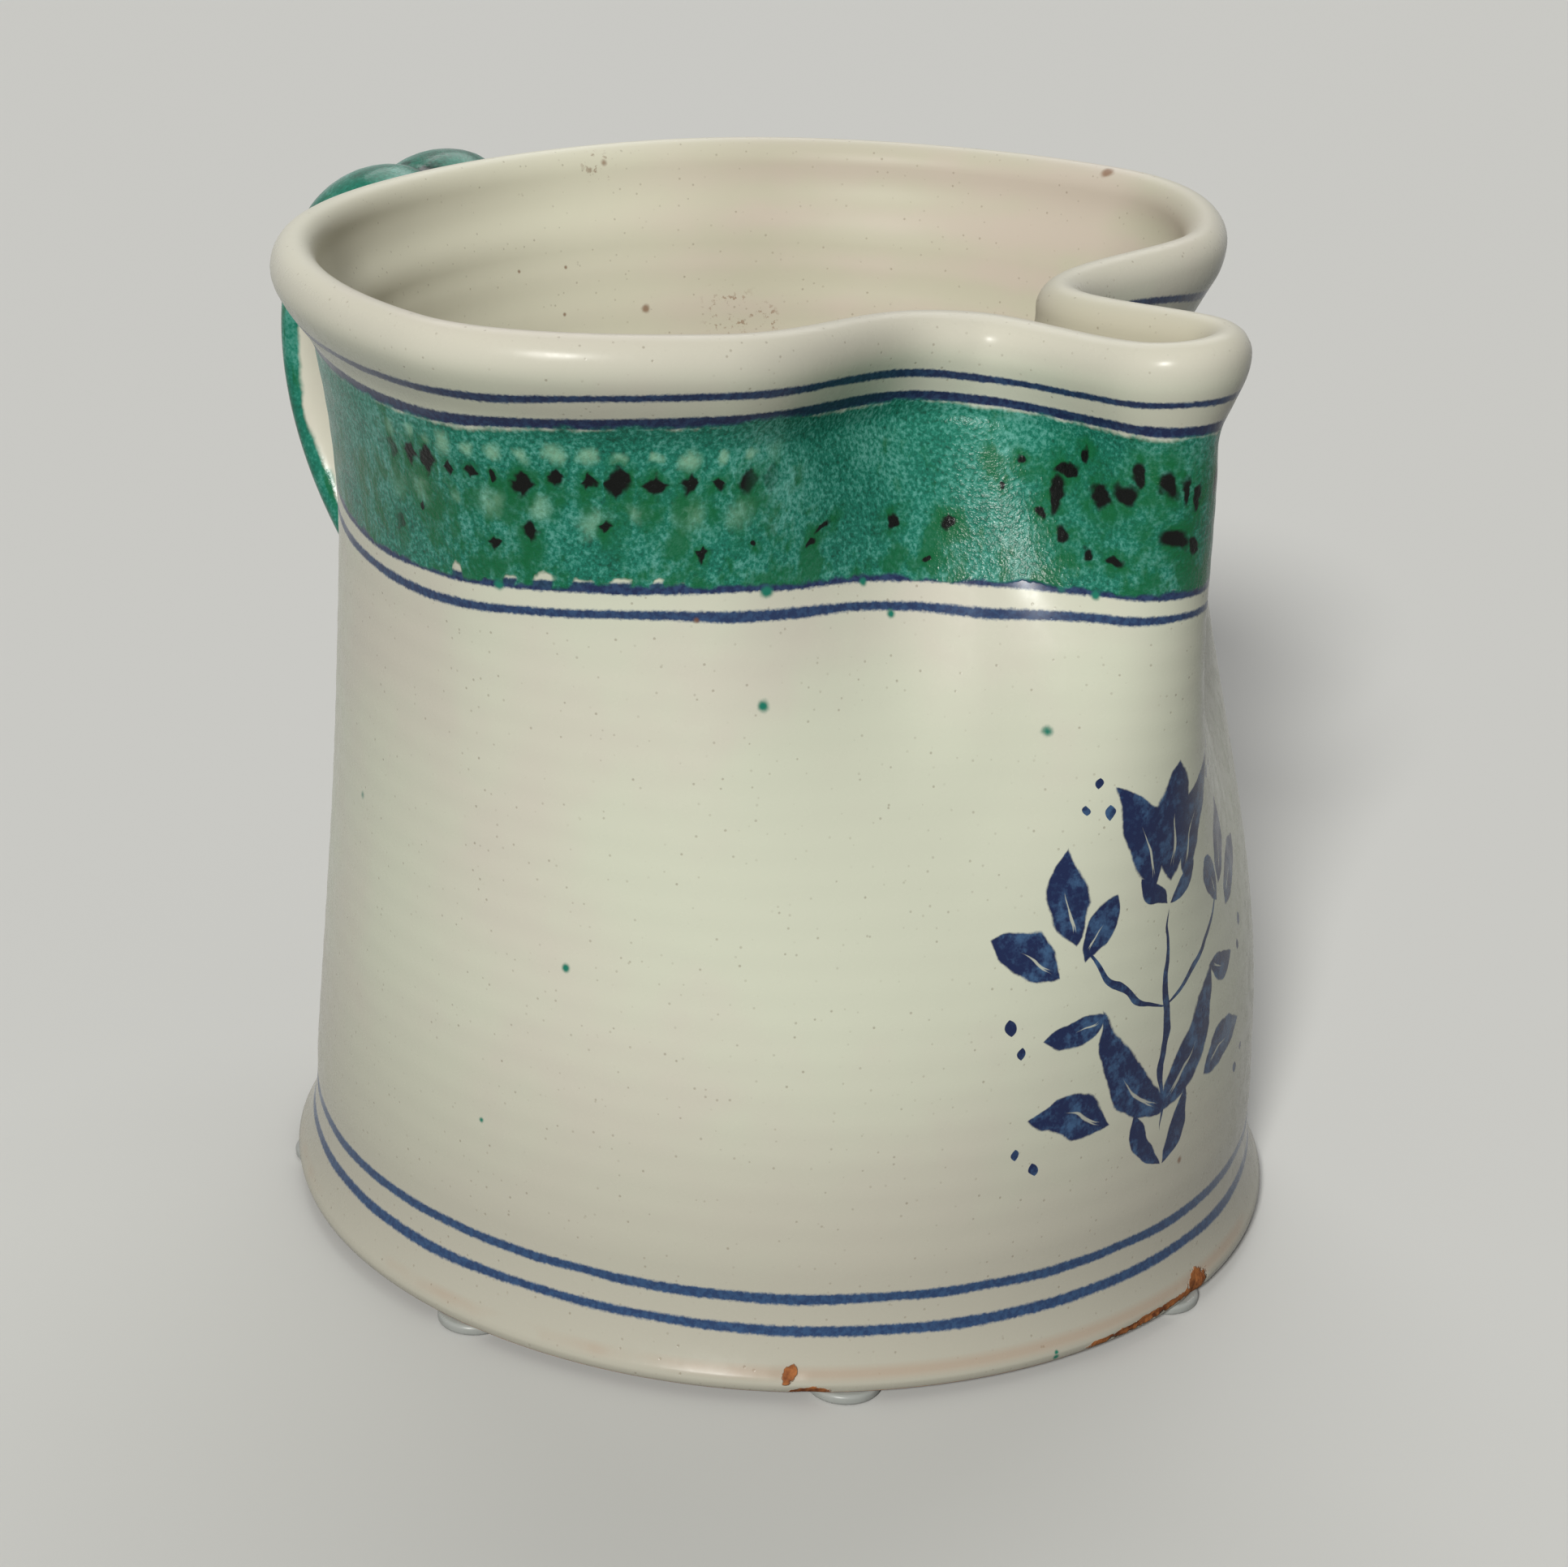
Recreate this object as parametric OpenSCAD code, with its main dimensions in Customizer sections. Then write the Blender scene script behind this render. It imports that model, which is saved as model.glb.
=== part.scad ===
// Hand-thrown earthenware pitcher: flared foot, waisted body, rolled lip drawn out into a
// deep pinched spout, and a strap handle of two reeds set opposite the spout.
// Millimetres, +Z up. The spout points along +X and the handle along -X.
// The origin lies on the standing plane, under the middle of the foot.

/* [Foot] */
// Diameter of the foot at its widest
foot_d = 191; // [186:1:215]
// Height of the flared foot band
foot_h = 22; // [16:1:32]
// Height of the widest part above the foot's underside
foot_edge_h = 2; // [1:0.5:8]
// How far the foot's bottom edge is rounded in
foot_edge_in = 1; // [0.5:0.5:4]
// Width of the ring that the foot stands on
foot_ring_w = 12; // [9:0.5:18]
// Thickness of the floor
floor_t = 8; // [5:0.5:12]
// Height of the floor's underside above the foot's underside
floor_recess = 2; // [0.5:0.5:6]

/* [Body] */
// Height of the lip's crest above the standing plane
body_h = 183.5; // [165:0.5:220]
// Diameter where the wall rises from the foot band
base_d = 183; // [176:1:186]
// Diameter of the waist, the narrowest part of the body
waist_d = 173; // [164:1:178]
// Drop from the crest to the waist
waist_drop = 56; // [45:1:75]
// Diameter of the neck, where the lip begins
neck_d = 181; // [176:1:186]
// Thickness of the wall
wall_t = 6; // [4:0.5:7]

/* [Lip] */
// Diameter of the lip's crest on the round side
lip_d = 188; // [182:1:200]
// Width of the rolled lip
lip_w = 8.4; // [7:0.2:11]
// Height of the lip above the neck
lip_h = 21; // [16:0.5:28]
// Drop from the crest to the lip's widest
lip_round = 5; // [3:0.5:8]
// Dip of the crest on both sides of the throat
throat_dip = 2; // [0:0.5:5]
// Rise of the crest towards +Y, from throwing by hand
lip_lean = 1.3; // [0:0.1:4]

/* [Spout] */
// Reach of the spout's crest from the jug's axis
spout_reach = 87; // [80:1:105]
// Width of the spout behind its round tip, crest to crest
spout_w = 19.5; // [17:0.5:28]
// Distance of the throat from the jug's axis
throat_x = 44; // [36:1:56]
// Width of the throat, crest to crest
throat_w = 27; // [24:1:40]
// Distance of each flank's middle from the jug's axis
flank_r = 75; // [66:1:86]
// Angle of the flank's middle from the spout
flank_a = 60; // [52:1:68]
// Angle where the flank runs out into the round
flank_end = 92; // [80:1:105]
// Depth below the crest at which the pinch begins
pinch_depth = 143; // [100:1:150]

/* [Handle] */
// Width of the strap over both reeds
handle_w = 38; // [28:1:48]
// Thickness of each reed
handle_t = 11.4; // [8:0.2:15]
// Depth of the groove between the reeds, on each face
reed_groove = 2.2; // [1:0.2:3.4]
// Turn of the handle away from straight opposite the spout
handle_turn = 2; // [-8:1:8]
// Drop from the crest to the handle's upper end
handle_top_drop = 11; // [9:0.5:18]
// Drop from the crest to the handle's lower end
handle_low_drop = 94; // [80:1:105]
// Distance of the handle's shoulder point from the jug's axis
shoulder_x = 125; // [112:1:140]
// Rise of the shoulder point above the upper end
shoulder_rise = 17; // [4:1:22]
// How much higher the strap's right edge bows than its left edge, seen from the spout
shoulder_tilt = 6; // [0:0.5:8]
// Distance of the handle's elbow point from the jug's axis
elbow_x = 146; // [126:1:160]
// Drop from the crest to the elbow point
elbow_drop = 53; // [40:1:66]
// Height of the upper root where it is luted to the lip
top_root_h = 15; // [12:0.5:18]
// Height of the lower root where it is luted to the wall
low_root_h = 26; // [18:1:34]
// How far each root spreads past the strap on each side
root_spread = 3; // [0:0.5:8]

/* [Pads] */
// Diameter of one pad under the foot
pad_d = 13.5; // [8:0.5:18]
// Thickness of a pad
pad_t = 2; // [1:0.5:4]
// Distance from the foot's edge to a pad's middle
pad_inset = 6; // [4:0.5:12]
// Number of pads round the foot
pad_n = 8; // [3:1:12]
// Turn of the ring of pads
pad_turn = 5; // [0:1:45]

/* [Hidden] */
foot_r = foot_d / 2;
base_r = base_d / 2;
waist_r = waist_d / 2;
neck_r = neck_d / 2;
lip_r = lip_d / 2;
foot_top = pad_t + foot_h;
neck_z = body_h - lip_h;
waist_z = body_h - waist_drop;
bulge_z = body_h - lip_round;
pinch_z = body_h - pinch_depth;
// Bore inside the foot: the ring's own, or narrower where the wall above needs a seat
foot_bore_r = min(foot_r - foot_ring_w, base_r - wall_t);

// How sharply the foot flares, the wall draws in to the waist and flares to the neck,
// and the pinch deepens upwards
foot_power = 3;
belly_power = 1.25;
flare_power = 2;
pinch_power = 2;
// Width of the dip at the throat, in degrees of the round
dip_width = 24;

// Samples round half the spout's tip and along each stretch of a flank, and the step round the back
tip_steps = 5;
stretch_steps = 8;
round_step = 4;
// Levels up the outside and down the inside of the wall
outer_levels = 12;
inner_levels = 8;
// Points up the lip's flare and over its crest
flare_steps = 5;
crest_steps = 6;
// Points up the foot's flare, and sides of the foot and of a pad
foot_steps = 8;
foot_sides = 120;
pad_sides = 48;
// Points round one reed, and rings along the strap, over a root's seat and along each root
reed_points = 12;
strap_rings = 18;
seat_rings = 4;
root_rings = 3;
// Shares of the strap's curve where the roots end and the reeds begin
top_root_share = 0.12;
low_root_share = 0.9;

cream = [0.80, 0.77, 0.65];
pale_cream = [0.85, 0.80, 0.71];
copper_green = [0.13, 0.47, 0.38];
dark_green = [0.10, 0.38, 0.31];
clear_grey = [0.80, 0.82, 0.80];

function mix(a, b, t) = a + (b - a) * t;
function unit_share(t) = min(max(t, 0), 1);
function ease(t) = t * t * (3 - 2 * t);

// Radius of the round outside at height z, from the foot band up over the lip's widest to its crest
function skin_r(z) =
    z < waist_z
    ? waist_r + (base_r - waist_r) * pow((waist_z - z) / (waist_z - foot_top), belly_power)
    : z < neck_z
    ? waist_r + (neck_r - waist_r) * pow((z - waist_z) / (neck_z - waist_z), flare_power)
    : z < bulge_z
    ? mix(neck_r, lip_r + lip_w / 2, ease((z - neck_z) / (bulge_z - neck_z)))
    : lip_r + lip_w / 2 * sqrt(1 - unit_share((z - bulge_z) / lip_round) ^ 2);

// Share of the pinch at height z, from none low on the body to all of it at the neck
function pinch(z) = pow(unit_share((z - pinch_z) / (neck_z - pinch_z)), pinch_power);

// Point at share t of a smooth stretch from b to c that leaves and arrives along the given slopes
function flow(b, c, leave, arrive, t) =
    b * (2 * t ^ 3 - 3 * t ^ 2 + 1) + leave * (t ^ 3 - 2 * t ^ 2 + t)
    + c * (3 * t ^ 2 - 2 * t ^ 3) + arrive * (t ^ 3 - t ^ 2);
function heading(v) = v / norm(v);

// One half of the crest's outline: the spout's round tip, then knots at the tip's end, the throat,
// the flank's middle and the start of the round
tip_r = spout_w / 2;
knots = [
    [spout_reach - tip_r, tip_r],
    [throat_x, throat_w / 2],
    flank_r * [cos(flank_a), sin(flank_a)],
    lip_r * [cos(flank_end), sin(flank_end)]
];
headings = [
    [-1, 0],
    heading(knots[2] - knots[0]),
    heading(knots[3] - knots[1]),
    [-sin(flank_end), cos(flank_end)]
];
stretches = len(knots) - 1;
chords = [for (i = [0:stretches - 1]) norm(knots[i + 1] - knots[i])];

// Angle on the round body that each knot is pinched from, by its share of the half outline
function length_to(i) = i == 0 ? PI / 2 * tip_r : length_to(i - 1) + chords[i - 1];
function knot_turn(i) = flank_end * length_to(i) / length_to(stretches);
throat_turn = knot_turn(1);

half_crest = concat(
    [
        for (k = [0:tip_steps - 1])
            let (a = 90 * k / tip_steps)
                [spout_reach - tip_r + tip_r * cos(a), tip_r * sin(a)]
    ],
    [
        for (i = [0:stretches - 1], k = [0:stretch_steps - 1])
            flow(
                knots[i], knots[i + 1],
                headings[i] * chords[i], headings[i + 1] * chords[i],
                k / stretch_steps
            )
    ]
);
half_turn = concat(
    [for (k = [0:tip_steps - 1]) knot_turn(0) * k / tip_steps],
    [
        for (i = [0:stretches - 1], k = [0:stretch_steps - 1])
            mix(knot_turn(i), knot_turn(i + 1), k / stretch_steps)
    ]
);
half_count = len(half_crest);
back_count = round((360 - 2 * flank_end) / round_step);
back_turn = [for (k = [0:back_count]) mix(flank_end, 360 - flank_end, k / back_count)];

// The whole outline of the crest, anticlockwise from the spout's tip, and its angle on the round
crest = concat(
    half_crest,
    [for (a = back_turn) lip_r * [cos(a), sin(a)]],
    [for (i = [half_count - 1:-1:1]) [half_crest[i].x, -half_crest[i].y]]
);
turn = concat(half_turn, back_turn, [for (i = [half_count - 1:-1:1]) 360 - half_turn[i]]);
count = len(crest);

// Outward direction at each point of the outline
outward = [
    for (i = [0:count - 1])
        let (d = crest[(i + 1) % count] - crest[(i + count - 1) % count])
            [d.y, -d.x] / norm(d)
];
// Angle from the spout, and how much of the round's neck the outline keeps there
from_spout = [for (a = turn) min(a, 360 - a)];
necking = [for (a = from_spout) ease(unit_share((a - throat_turn) / (flank_end - throat_turn)))];
// Lift of the crest: a dip beside the throat and the lean of the whole lip
lift = [
    for (i = [0:count - 1])
        lip_lean * crest[i].y / lip_r
        - throat_dip * exp(-pow((from_spout[i] - throat_turn) / dip_width, 2))
];

// Point of the wall at height z, set in from the outer face
function wall_point(i, z, inset) =
    let (
        rounded = (skin_r(z) - inset) * [cos(turn[i]), sin(turn[i])],
        pinched = crest[i] + outward[i] * ((skin_r(z) - lip_r) * necking[i] - inset),
        place = mix(rounded, pinched, pinch(z))
    )
    [place.x, place.y, z];

// Point of the lip, off the crest's line and lifted more the nearer it is to the crest
function lip_point(i, off, z) =
    let (place = crest[i] + outward[i] * off)
    [place.x, place.y, z + lift[i] * unit_share((z - neck_z) / (bulge_z - neck_z))];

// Closed solid from rings of points that follow each other round a tube
module ring_solid(rings) {
    n = len(rings[0]);
    m = len(rings);
    points = [for (ring = rings) for (p = ring) p];
    faces = [
        for (r = [0:m - 1], i = [0:n - 1])
            let (
                a = r * n + i,
                b = r * n + (i + 1) % n,
                c = ((r + 1) % m) * n + (i + 1) % n,
                d = ((r + 1) % m) * n + i
            )
            each [[a, c, b], [a, d, c]]
    ];
    polyhedron(points, faces, convexity = 6);
}

// Closed solid from rings that follow each other along a bar, with both ends closed
module bar_solid(rings) {
    n = len(rings[0]);
    m = len(rings);
    points = [for (ring = rings) for (p = ring) p];
    sides = [
        for (r = [0:m - 2], i = [0:n - 1])
            let (
                a = r * n + i,
                b = r * n + (i + 1) % n,
                c = (r + 1) * n + (i + 1) % n,
                d = (r + 1) * n + i
            )
            each [[a, c, b], [a, d, c]]
    ];
    first = [for (i = [0:n - 1]) i];
    last = [for (i = [n - 1:-1:0]) (m - 1) * n + i];
    polyhedron(points, concat(sides, [first, last]), convexity = 6);
}

// Round floor inside the foot band
module floor_slab() {
    color(pale_cream)
        translate([0, 0, pad_t + floor_recess])
            cylinder(r = foot_bore_r, h = floor_t, $fn = foot_sides);
}

// Flared band that the jug stands on, with a rounded bottom edge
module foot_band() {
    edge_z = pad_t + foot_edge_h;
    flare = [
        for (k = [0:foot_steps])
            let (t = k / foot_steps)
                [mix(foot_r, base_r, 1 - pow(1 - t, foot_power)), mix(edge_z, foot_top, t)]
    ];
    profile = concat(
        [[foot_bore_r, pad_t], [foot_r - foot_edge_in, pad_t]],
        flare,
        [[foot_bore_r, foot_top]]
    );
    color(pale_cream)
        rotate_extrude($fn = foot_sides)
            polygon(profile);
}

// Thrown wall: round at the foot, drawn in at the waist and pinched towards the spout above
module body_wall() {
    up = [for (k = [0:outer_levels]) mix(foot_top, neck_z, k / outer_levels)];
    down = [for (k = [inner_levels:-1:0]) mix(foot_top, neck_z, k / inner_levels)];
    rings = concat(
        [for (z = up) [for (i = [0:count - 1]) wall_point(i, z, 0)]],
        [for (z = down) [for (i = [0:count - 1]) wall_point(i, z, wall_t)]]
    );
    color(cream)
        ring_solid(rings);
}

// Lip rolled outwards on the neck: flare up the outside, over the crest, down the inside
module rolled_lip() {
    half_w = lip_w / 2;
    neck_off = [for (i = [0:count - 1]) (neck_r - lip_r) * necking[i]];
    outside = [
        for (k = [0:flare_steps])
            let (t = k / flare_steps, z = mix(neck_z, bulge_z, t))
                [for (i = [0:count - 1]) lip_point(i, mix(neck_off[i], half_w, ease(t)), z)]
    ];
    over = [
        for (k = [1:crest_steps - 1])
            let (a = 180 * k / crest_steps, z = bulge_z + lip_round * sin(a))
                [for (i = [0:count - 1]) lip_point(i, half_w * cos(a), z)]
    ];
    inside = [
        for (k = [flare_steps:-1:0])
            let (t = k / flare_steps, z = mix(neck_z, bulge_z, t))
                [for (i = [0:count - 1]) lip_point(i, mix(neck_off[i] - wall_t, -half_w, ease(t)), z)]
    ];
    color(pale_cream)
        ring_solid(concat(outside, over, inside));
}

// The strap's middle line, in the handle's own upright plane: distance from the axis, height
handle_top_z = body_h - handle_top_drop;
handle_low_z = body_h - handle_low_drop;
strap = [
    [skin_r(handle_top_z), handle_top_z],
    [shoulder_x, handle_top_z + shoulder_rise],
    [elbow_x, body_h - elbow_drop],
    [skin_r(handle_low_z), handle_low_z]
];
function strap_at(t) =
    strap[0] * (1 - t) ^ 3 + strap[1] * 3 * t * (1 - t) ^ 2
    + strap[2] * 3 * t ^ 2 * (1 - t) + strap[3] * t ^ 3;
function strap_along(t) =
    (strap[1] - strap[0]) * (1 - t) ^ 2 + (strap[2] - strap[1]) * 2 * t * (1 - t)
    + (strap[3] - strap[2]) * t ^ 2;

// One reed's section, [across, out of the strap]: an ellipse cut flat at the groove
groove_share = 1 - reed_groove / (handle_t / 2);
reed_lean = sqrt(1 - groove_share ^ 2);
reed_half_w = handle_w / 2 / (1 + reed_lean);
reed_reach = acos(-reed_lean);
reed = [
    for (k = [0:reed_points - 1])
        let (a = mix(-reed_reach, reed_reach, k / (reed_points - 1)))
            [reed_half_w * (reed_lean + cos(a)), handle_t / 2 * sin(a)]
];
mirrored_reed = [for (k = [reed_points - 1:-1:0]) [-reed[k].x, reed[k].y]];
// Both reeds as one outline, without the two shared points of the groove counted twice
both_reeds = concat(reed, [for (k = [1:reed_points - 2]) mirrored_reed[k]]);

// A section placed on the strap at share t, tilted most halfway along
function section_at(section, t) =
    let (
        middle = strap_at(t),
        d = strap_along(t) / norm(strap_along(t)),
        out = [-d.y, d.x]
    )
    [
        for (p = section)
            let (tilt = shoulder_tilt * sin(180 * t) * p.x / handle_w)
                [middle.x + out.x * p.y, p.x, middle.y + out.y * p.y - tilt]
    ];

// A point on the round skin, at a sideways distance and a height
function on_skin(side, z) = [sqrt(skin_r(z) ^ 2 - side ^ 2), side, z];

// Turns a handle piece from its own plane to the side away from the spout
module at_handle() {
    rotate([0, 0, 180 + handle_turn])
        children();
}

module reed_solid(section) {
    rings = [
        for (k = [0:strap_rings])
            section_at(section, mix(top_root_share, low_root_share, k / strap_rings))
    ];
    at_handle()
        bar_solid(rings);
}

// Clay root between the skin and one end of the strap: its patch on the skin, then the strap's section.
// The strap leaves the skin at its upper end (way 1) and comes back to it at its lower end (way -1).
module root_solid(root_z, root_h, share, way) {
    half_w = handle_w / 2 + root_spread;
    patch = [for (p = both_reeds) [half_w * p.x / (handle_w / 2), way * root_h * p.y / handle_t]];
    seat = [
        for (k = [1:seat_rings])
            let (s = k / seat_rings)
                [for (p = patch) on_skin(s * p.x, root_z + s * p.y)]
    ];
    end = section_at(both_reeds, share);
    neck = [
        for (k = [1:root_rings - 1])
            [for (i = [0:len(end) - 1]) mix(seat[seat_rings - 1][i], end[i], k / root_rings)]
    ];
    rings = concat(seat, neck, [end]);
    last = len(rings) - 1;
    at_handle()
        bar_solid(way > 0 ? rings : [for (k = [0:last]) rings[last - k]]);
}

module handle_upper_root() {
    color(copper_green)
        root_solid(handle_top_z, top_root_h, top_root_share, 1);
}

module handle_left_reed() {
    color(copper_green)
        reed_solid(reed);
}

module handle_right_reed() {
    color(dark_green)
        reed_solid(mirrored_reed);
}

module handle_lower_root() {
    color(copper_green)
        root_solid(handle_low_z, low_root_h, low_root_share, -1);
}

// Small clear pads stuck under the foot
module foot_pads() {
    color(clear_grey)
        for (k = [0:pad_n - 1])
            rotate([0, 0, pad_turn + k * 360 / pad_n])
                translate([foot_r - pad_inset, 0, 0])
                    cylinder(d = pad_d, h = pad_t, $fn = pad_sides);
}

floor_slab();
foot_band();
body_wall();
rolled_lip();
handle_upper_root();
handle_left_reed();
handle_right_reed();
handle_lower_root();
foot_pads();
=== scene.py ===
"""Dresses the solids of a hand-thrown, tin-glazed pitcher: clay, glaze, painted bands and a sprig."""
from functools import partial, reduce
from math import acos, atan2, cos, exp, hypot, pi, radians, sin, sqrt, tau
from types import SimpleNamespace

import bpy
from bpy.props import FloatProperty, FloatVectorProperty, IntProperty, PointerProperty
from mathutils import Matrix, Vector, noise


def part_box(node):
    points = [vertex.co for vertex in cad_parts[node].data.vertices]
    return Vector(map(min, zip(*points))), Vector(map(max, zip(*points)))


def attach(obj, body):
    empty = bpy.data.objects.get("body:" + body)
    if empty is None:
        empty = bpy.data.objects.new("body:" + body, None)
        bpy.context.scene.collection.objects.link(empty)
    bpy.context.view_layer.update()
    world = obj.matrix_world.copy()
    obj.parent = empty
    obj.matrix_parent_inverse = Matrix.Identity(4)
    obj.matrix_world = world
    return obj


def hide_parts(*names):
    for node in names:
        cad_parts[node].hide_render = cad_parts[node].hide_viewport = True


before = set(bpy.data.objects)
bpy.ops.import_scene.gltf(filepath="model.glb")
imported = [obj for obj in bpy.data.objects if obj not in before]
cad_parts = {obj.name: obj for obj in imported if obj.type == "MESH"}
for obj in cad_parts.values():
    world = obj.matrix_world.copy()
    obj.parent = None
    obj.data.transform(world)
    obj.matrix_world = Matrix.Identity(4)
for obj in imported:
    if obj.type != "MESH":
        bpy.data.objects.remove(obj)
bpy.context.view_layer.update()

bl_info = {
    "name": "Glazed pitcher",
    "version": (1, 0, 0),
    "blender": (4, 5, 0),
    "location": "3D View > Sidebar > Pitcher",
    "description": "Dresses the solids of a hand-thrown pitcher in glaze and brushed paint",
    "category": "Object",
}

MM = 0.001
ROOT = "root"

# Names of what the mesh carries for the glaze
GLAZE_MAP = "glaze_map"
INSIDE = "inside"
BARE = "bare"
OUTER_FACE = "outer_face"

# Round the jug, the glaze map measures the turn from the spout along a circle of this radius
MAP_R = 90 * MM

# Pieces stay this far under the skin of their solids, so that none stands proud of the solids' box
SKIN = 0.1 * MM

# Spacing of the throwing rings inside the jug, in millimetres
RING_PITCH = 8.5

# Points nearer than this are one point
MERGE = 0.002 * MM

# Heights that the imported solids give
STAND_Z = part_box("foot_pads")[1].z
FOOT_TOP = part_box("foot_band")[1].z
NECK_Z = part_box("rolled_lip")[0].z


def length(name, description, millimetres):
    """A size property, given in millimetres and held in metres."""
    return FloatProperty(name=name, description=description, default=millimetres * MM, unit="LENGTH")


def turn(name, description, angle):
    """An angle property, given in degrees."""
    return FloatProperty(name=name, description=description, default=radians(angle), unit="ROTATION")


def linear(hex_colour):
    """An sRGB hex colour as linear red, green, blue and an alpha of 1."""
    channels = [int(hex_colour[i:i + 2], 16) / 255 for i in (1, 3, 5)]
    return [c / 12.92 if c <= 0.04045 else ((c + 0.055) / 1.055) ** 2.4 for c in channels] + [1.0]


def glaze(name, description, hex_colour):
    """A colour property, given as an sRGB hex value."""
    return FloatVectorProperty(name=name, description=description, default=linear(hex_colour), size=4,
                               subtype="COLOR", min=0.0, max=1.0)


class PITCHER_body_sizes(bpy.types.PropertyGroup):
    """Sizes of the thrown body, the same as in the solids"""
    foot_d: length("Foot", "Diameter of the foot's edge", 191)
    foot_edge_h: length("Foot edge height", "Height of the rounded lower edge of the foot", 2)
    foot_edge_in: length("Foot edge inset", "How far that edge turns in", 1)
    foot_ring_w: length("Foot ring", "Width of the ring that the pads stick to", 12)
    foot_power: FloatProperty(name="Foot flare", description="How sharply the foot sweeps out", default=3.0)
    floor_t: length("Floor", "Thickness of the floor", 8)
    floor_recess: length("Floor recess", "How far the floor stands up inside the foot ring", 2)
    body_h: length("Height", "Height of the lip above the standing plane", 183.5)
    base_d: length("Base", "Diameter just over the foot", 183)
    waist_d: length("Waist", "Narrowest diameter", 173)
    waist_drop: length("Waist drop", "How far the waist is below the lip", 56)
    neck_d: length("Neck", "Diameter just under the lip", 181)
    wall_t: length("Wall", "Thickness of the wall", 6)
    lip_d: length("Lip", "Diameter of the lip's crest", 188)
    lip_w: length("Lip width", "Thickness of the rolled lip", 8.4)
    lip_round: length("Lip crest", "Height of the rounded crest", 5)
    lip_lean: length("Lip lean", "How much one side of the lip stands higher", 1.3)
    throat_dip: length("Throat dip", "How far the lip sinks beside the spout", 2)
    handle_sag: length("Handle sag", "How far the handle's weight drew the lip down", 1.5)
    flank_sag: length("Flank sag", "How far the spout's right flank was pressed down", 1.9)
    spout_reach: length("Spout reach", "From the middle to the crest at the spout's tip", 87)
    spout_w: length("Spout width", "Width of the spout's tip", 19.5)
    throat_x: length("Throat place", "From the middle to the throat", 44)
    throat_w: length("Throat width", "Width where the spout leaves the bowl", 27)
    flank_r: length("Flank", "From the middle to the flank beside the throat", 75)
    flank_a: turn("Flank angle", "Turn of that flank from the spout", 60)
    flank_end: turn("Flank end", "Turn at which the lip is round again", 92)
    pinch_depth: length("Pinch depth", "How far down the pinch reaches from the lip", 143)


class PITCHER_handle_sizes(bpy.types.PropertyGroup):
    """Sizes of the strap handle, the same as in the solids"""
    strap_w: length("Width", "Width of the strap", 38)
    strap_t: length("Thickness", "Thickness of the strap", 11.4)
    groove: length("Groove", "Depth of the groove between the two reeds", 2.2)
    swing: turn("Turn", "How far the handle is off the spout's line", 2)
    top_drop: length("Upper end", "Upper root below the lip", 11)
    low_drop: length("Lower end", "Lower root below the lip", 94)
    shoulder_x: length("Shoulder reach", "From the middle to the pull of the upper bend", 125)
    shoulder_rise: length("Shoulder rise", "How far that pull is above the upper root", 17)
    shoulder_tilt: length("Shoulder tilt", "How much one reed stands higher at the bend", 6)
    elbow_x: length("Elbow reach", "From the middle to the pull of the lower bend", 146)
    elbow_drop: length("Elbow drop", "How far that pull is below the lip", 53)
    top_root_h: length("Upper root", "Height of the upper root on the lip", 15)
    low_root_h: length("Lower root", "Height of the lower root on the wall", 26)
    root_spread: length("Root spread", "How much wider than the strap a root is, at each side", 3)


class PITCHER_pad_sizes(bpy.types.PropertyGroup):
    """Sizes of the pads under the foot, the same as in the solids"""
    pad_d: length("Diameter", "Diameter of a pad", 13.5)
    pad_inset: length("Inset", "From the foot's edge in to the middle of a pad", 6)
    pad_round: length("Edge", "Rounding of a pad's edge", 0.7)
    pad_n: IntProperty(name="Count", description="Number of pads", default=8, min=3, max=12)
    pad_turn: turn("Turn", "Turn of the first pad from the spout", 5)


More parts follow.
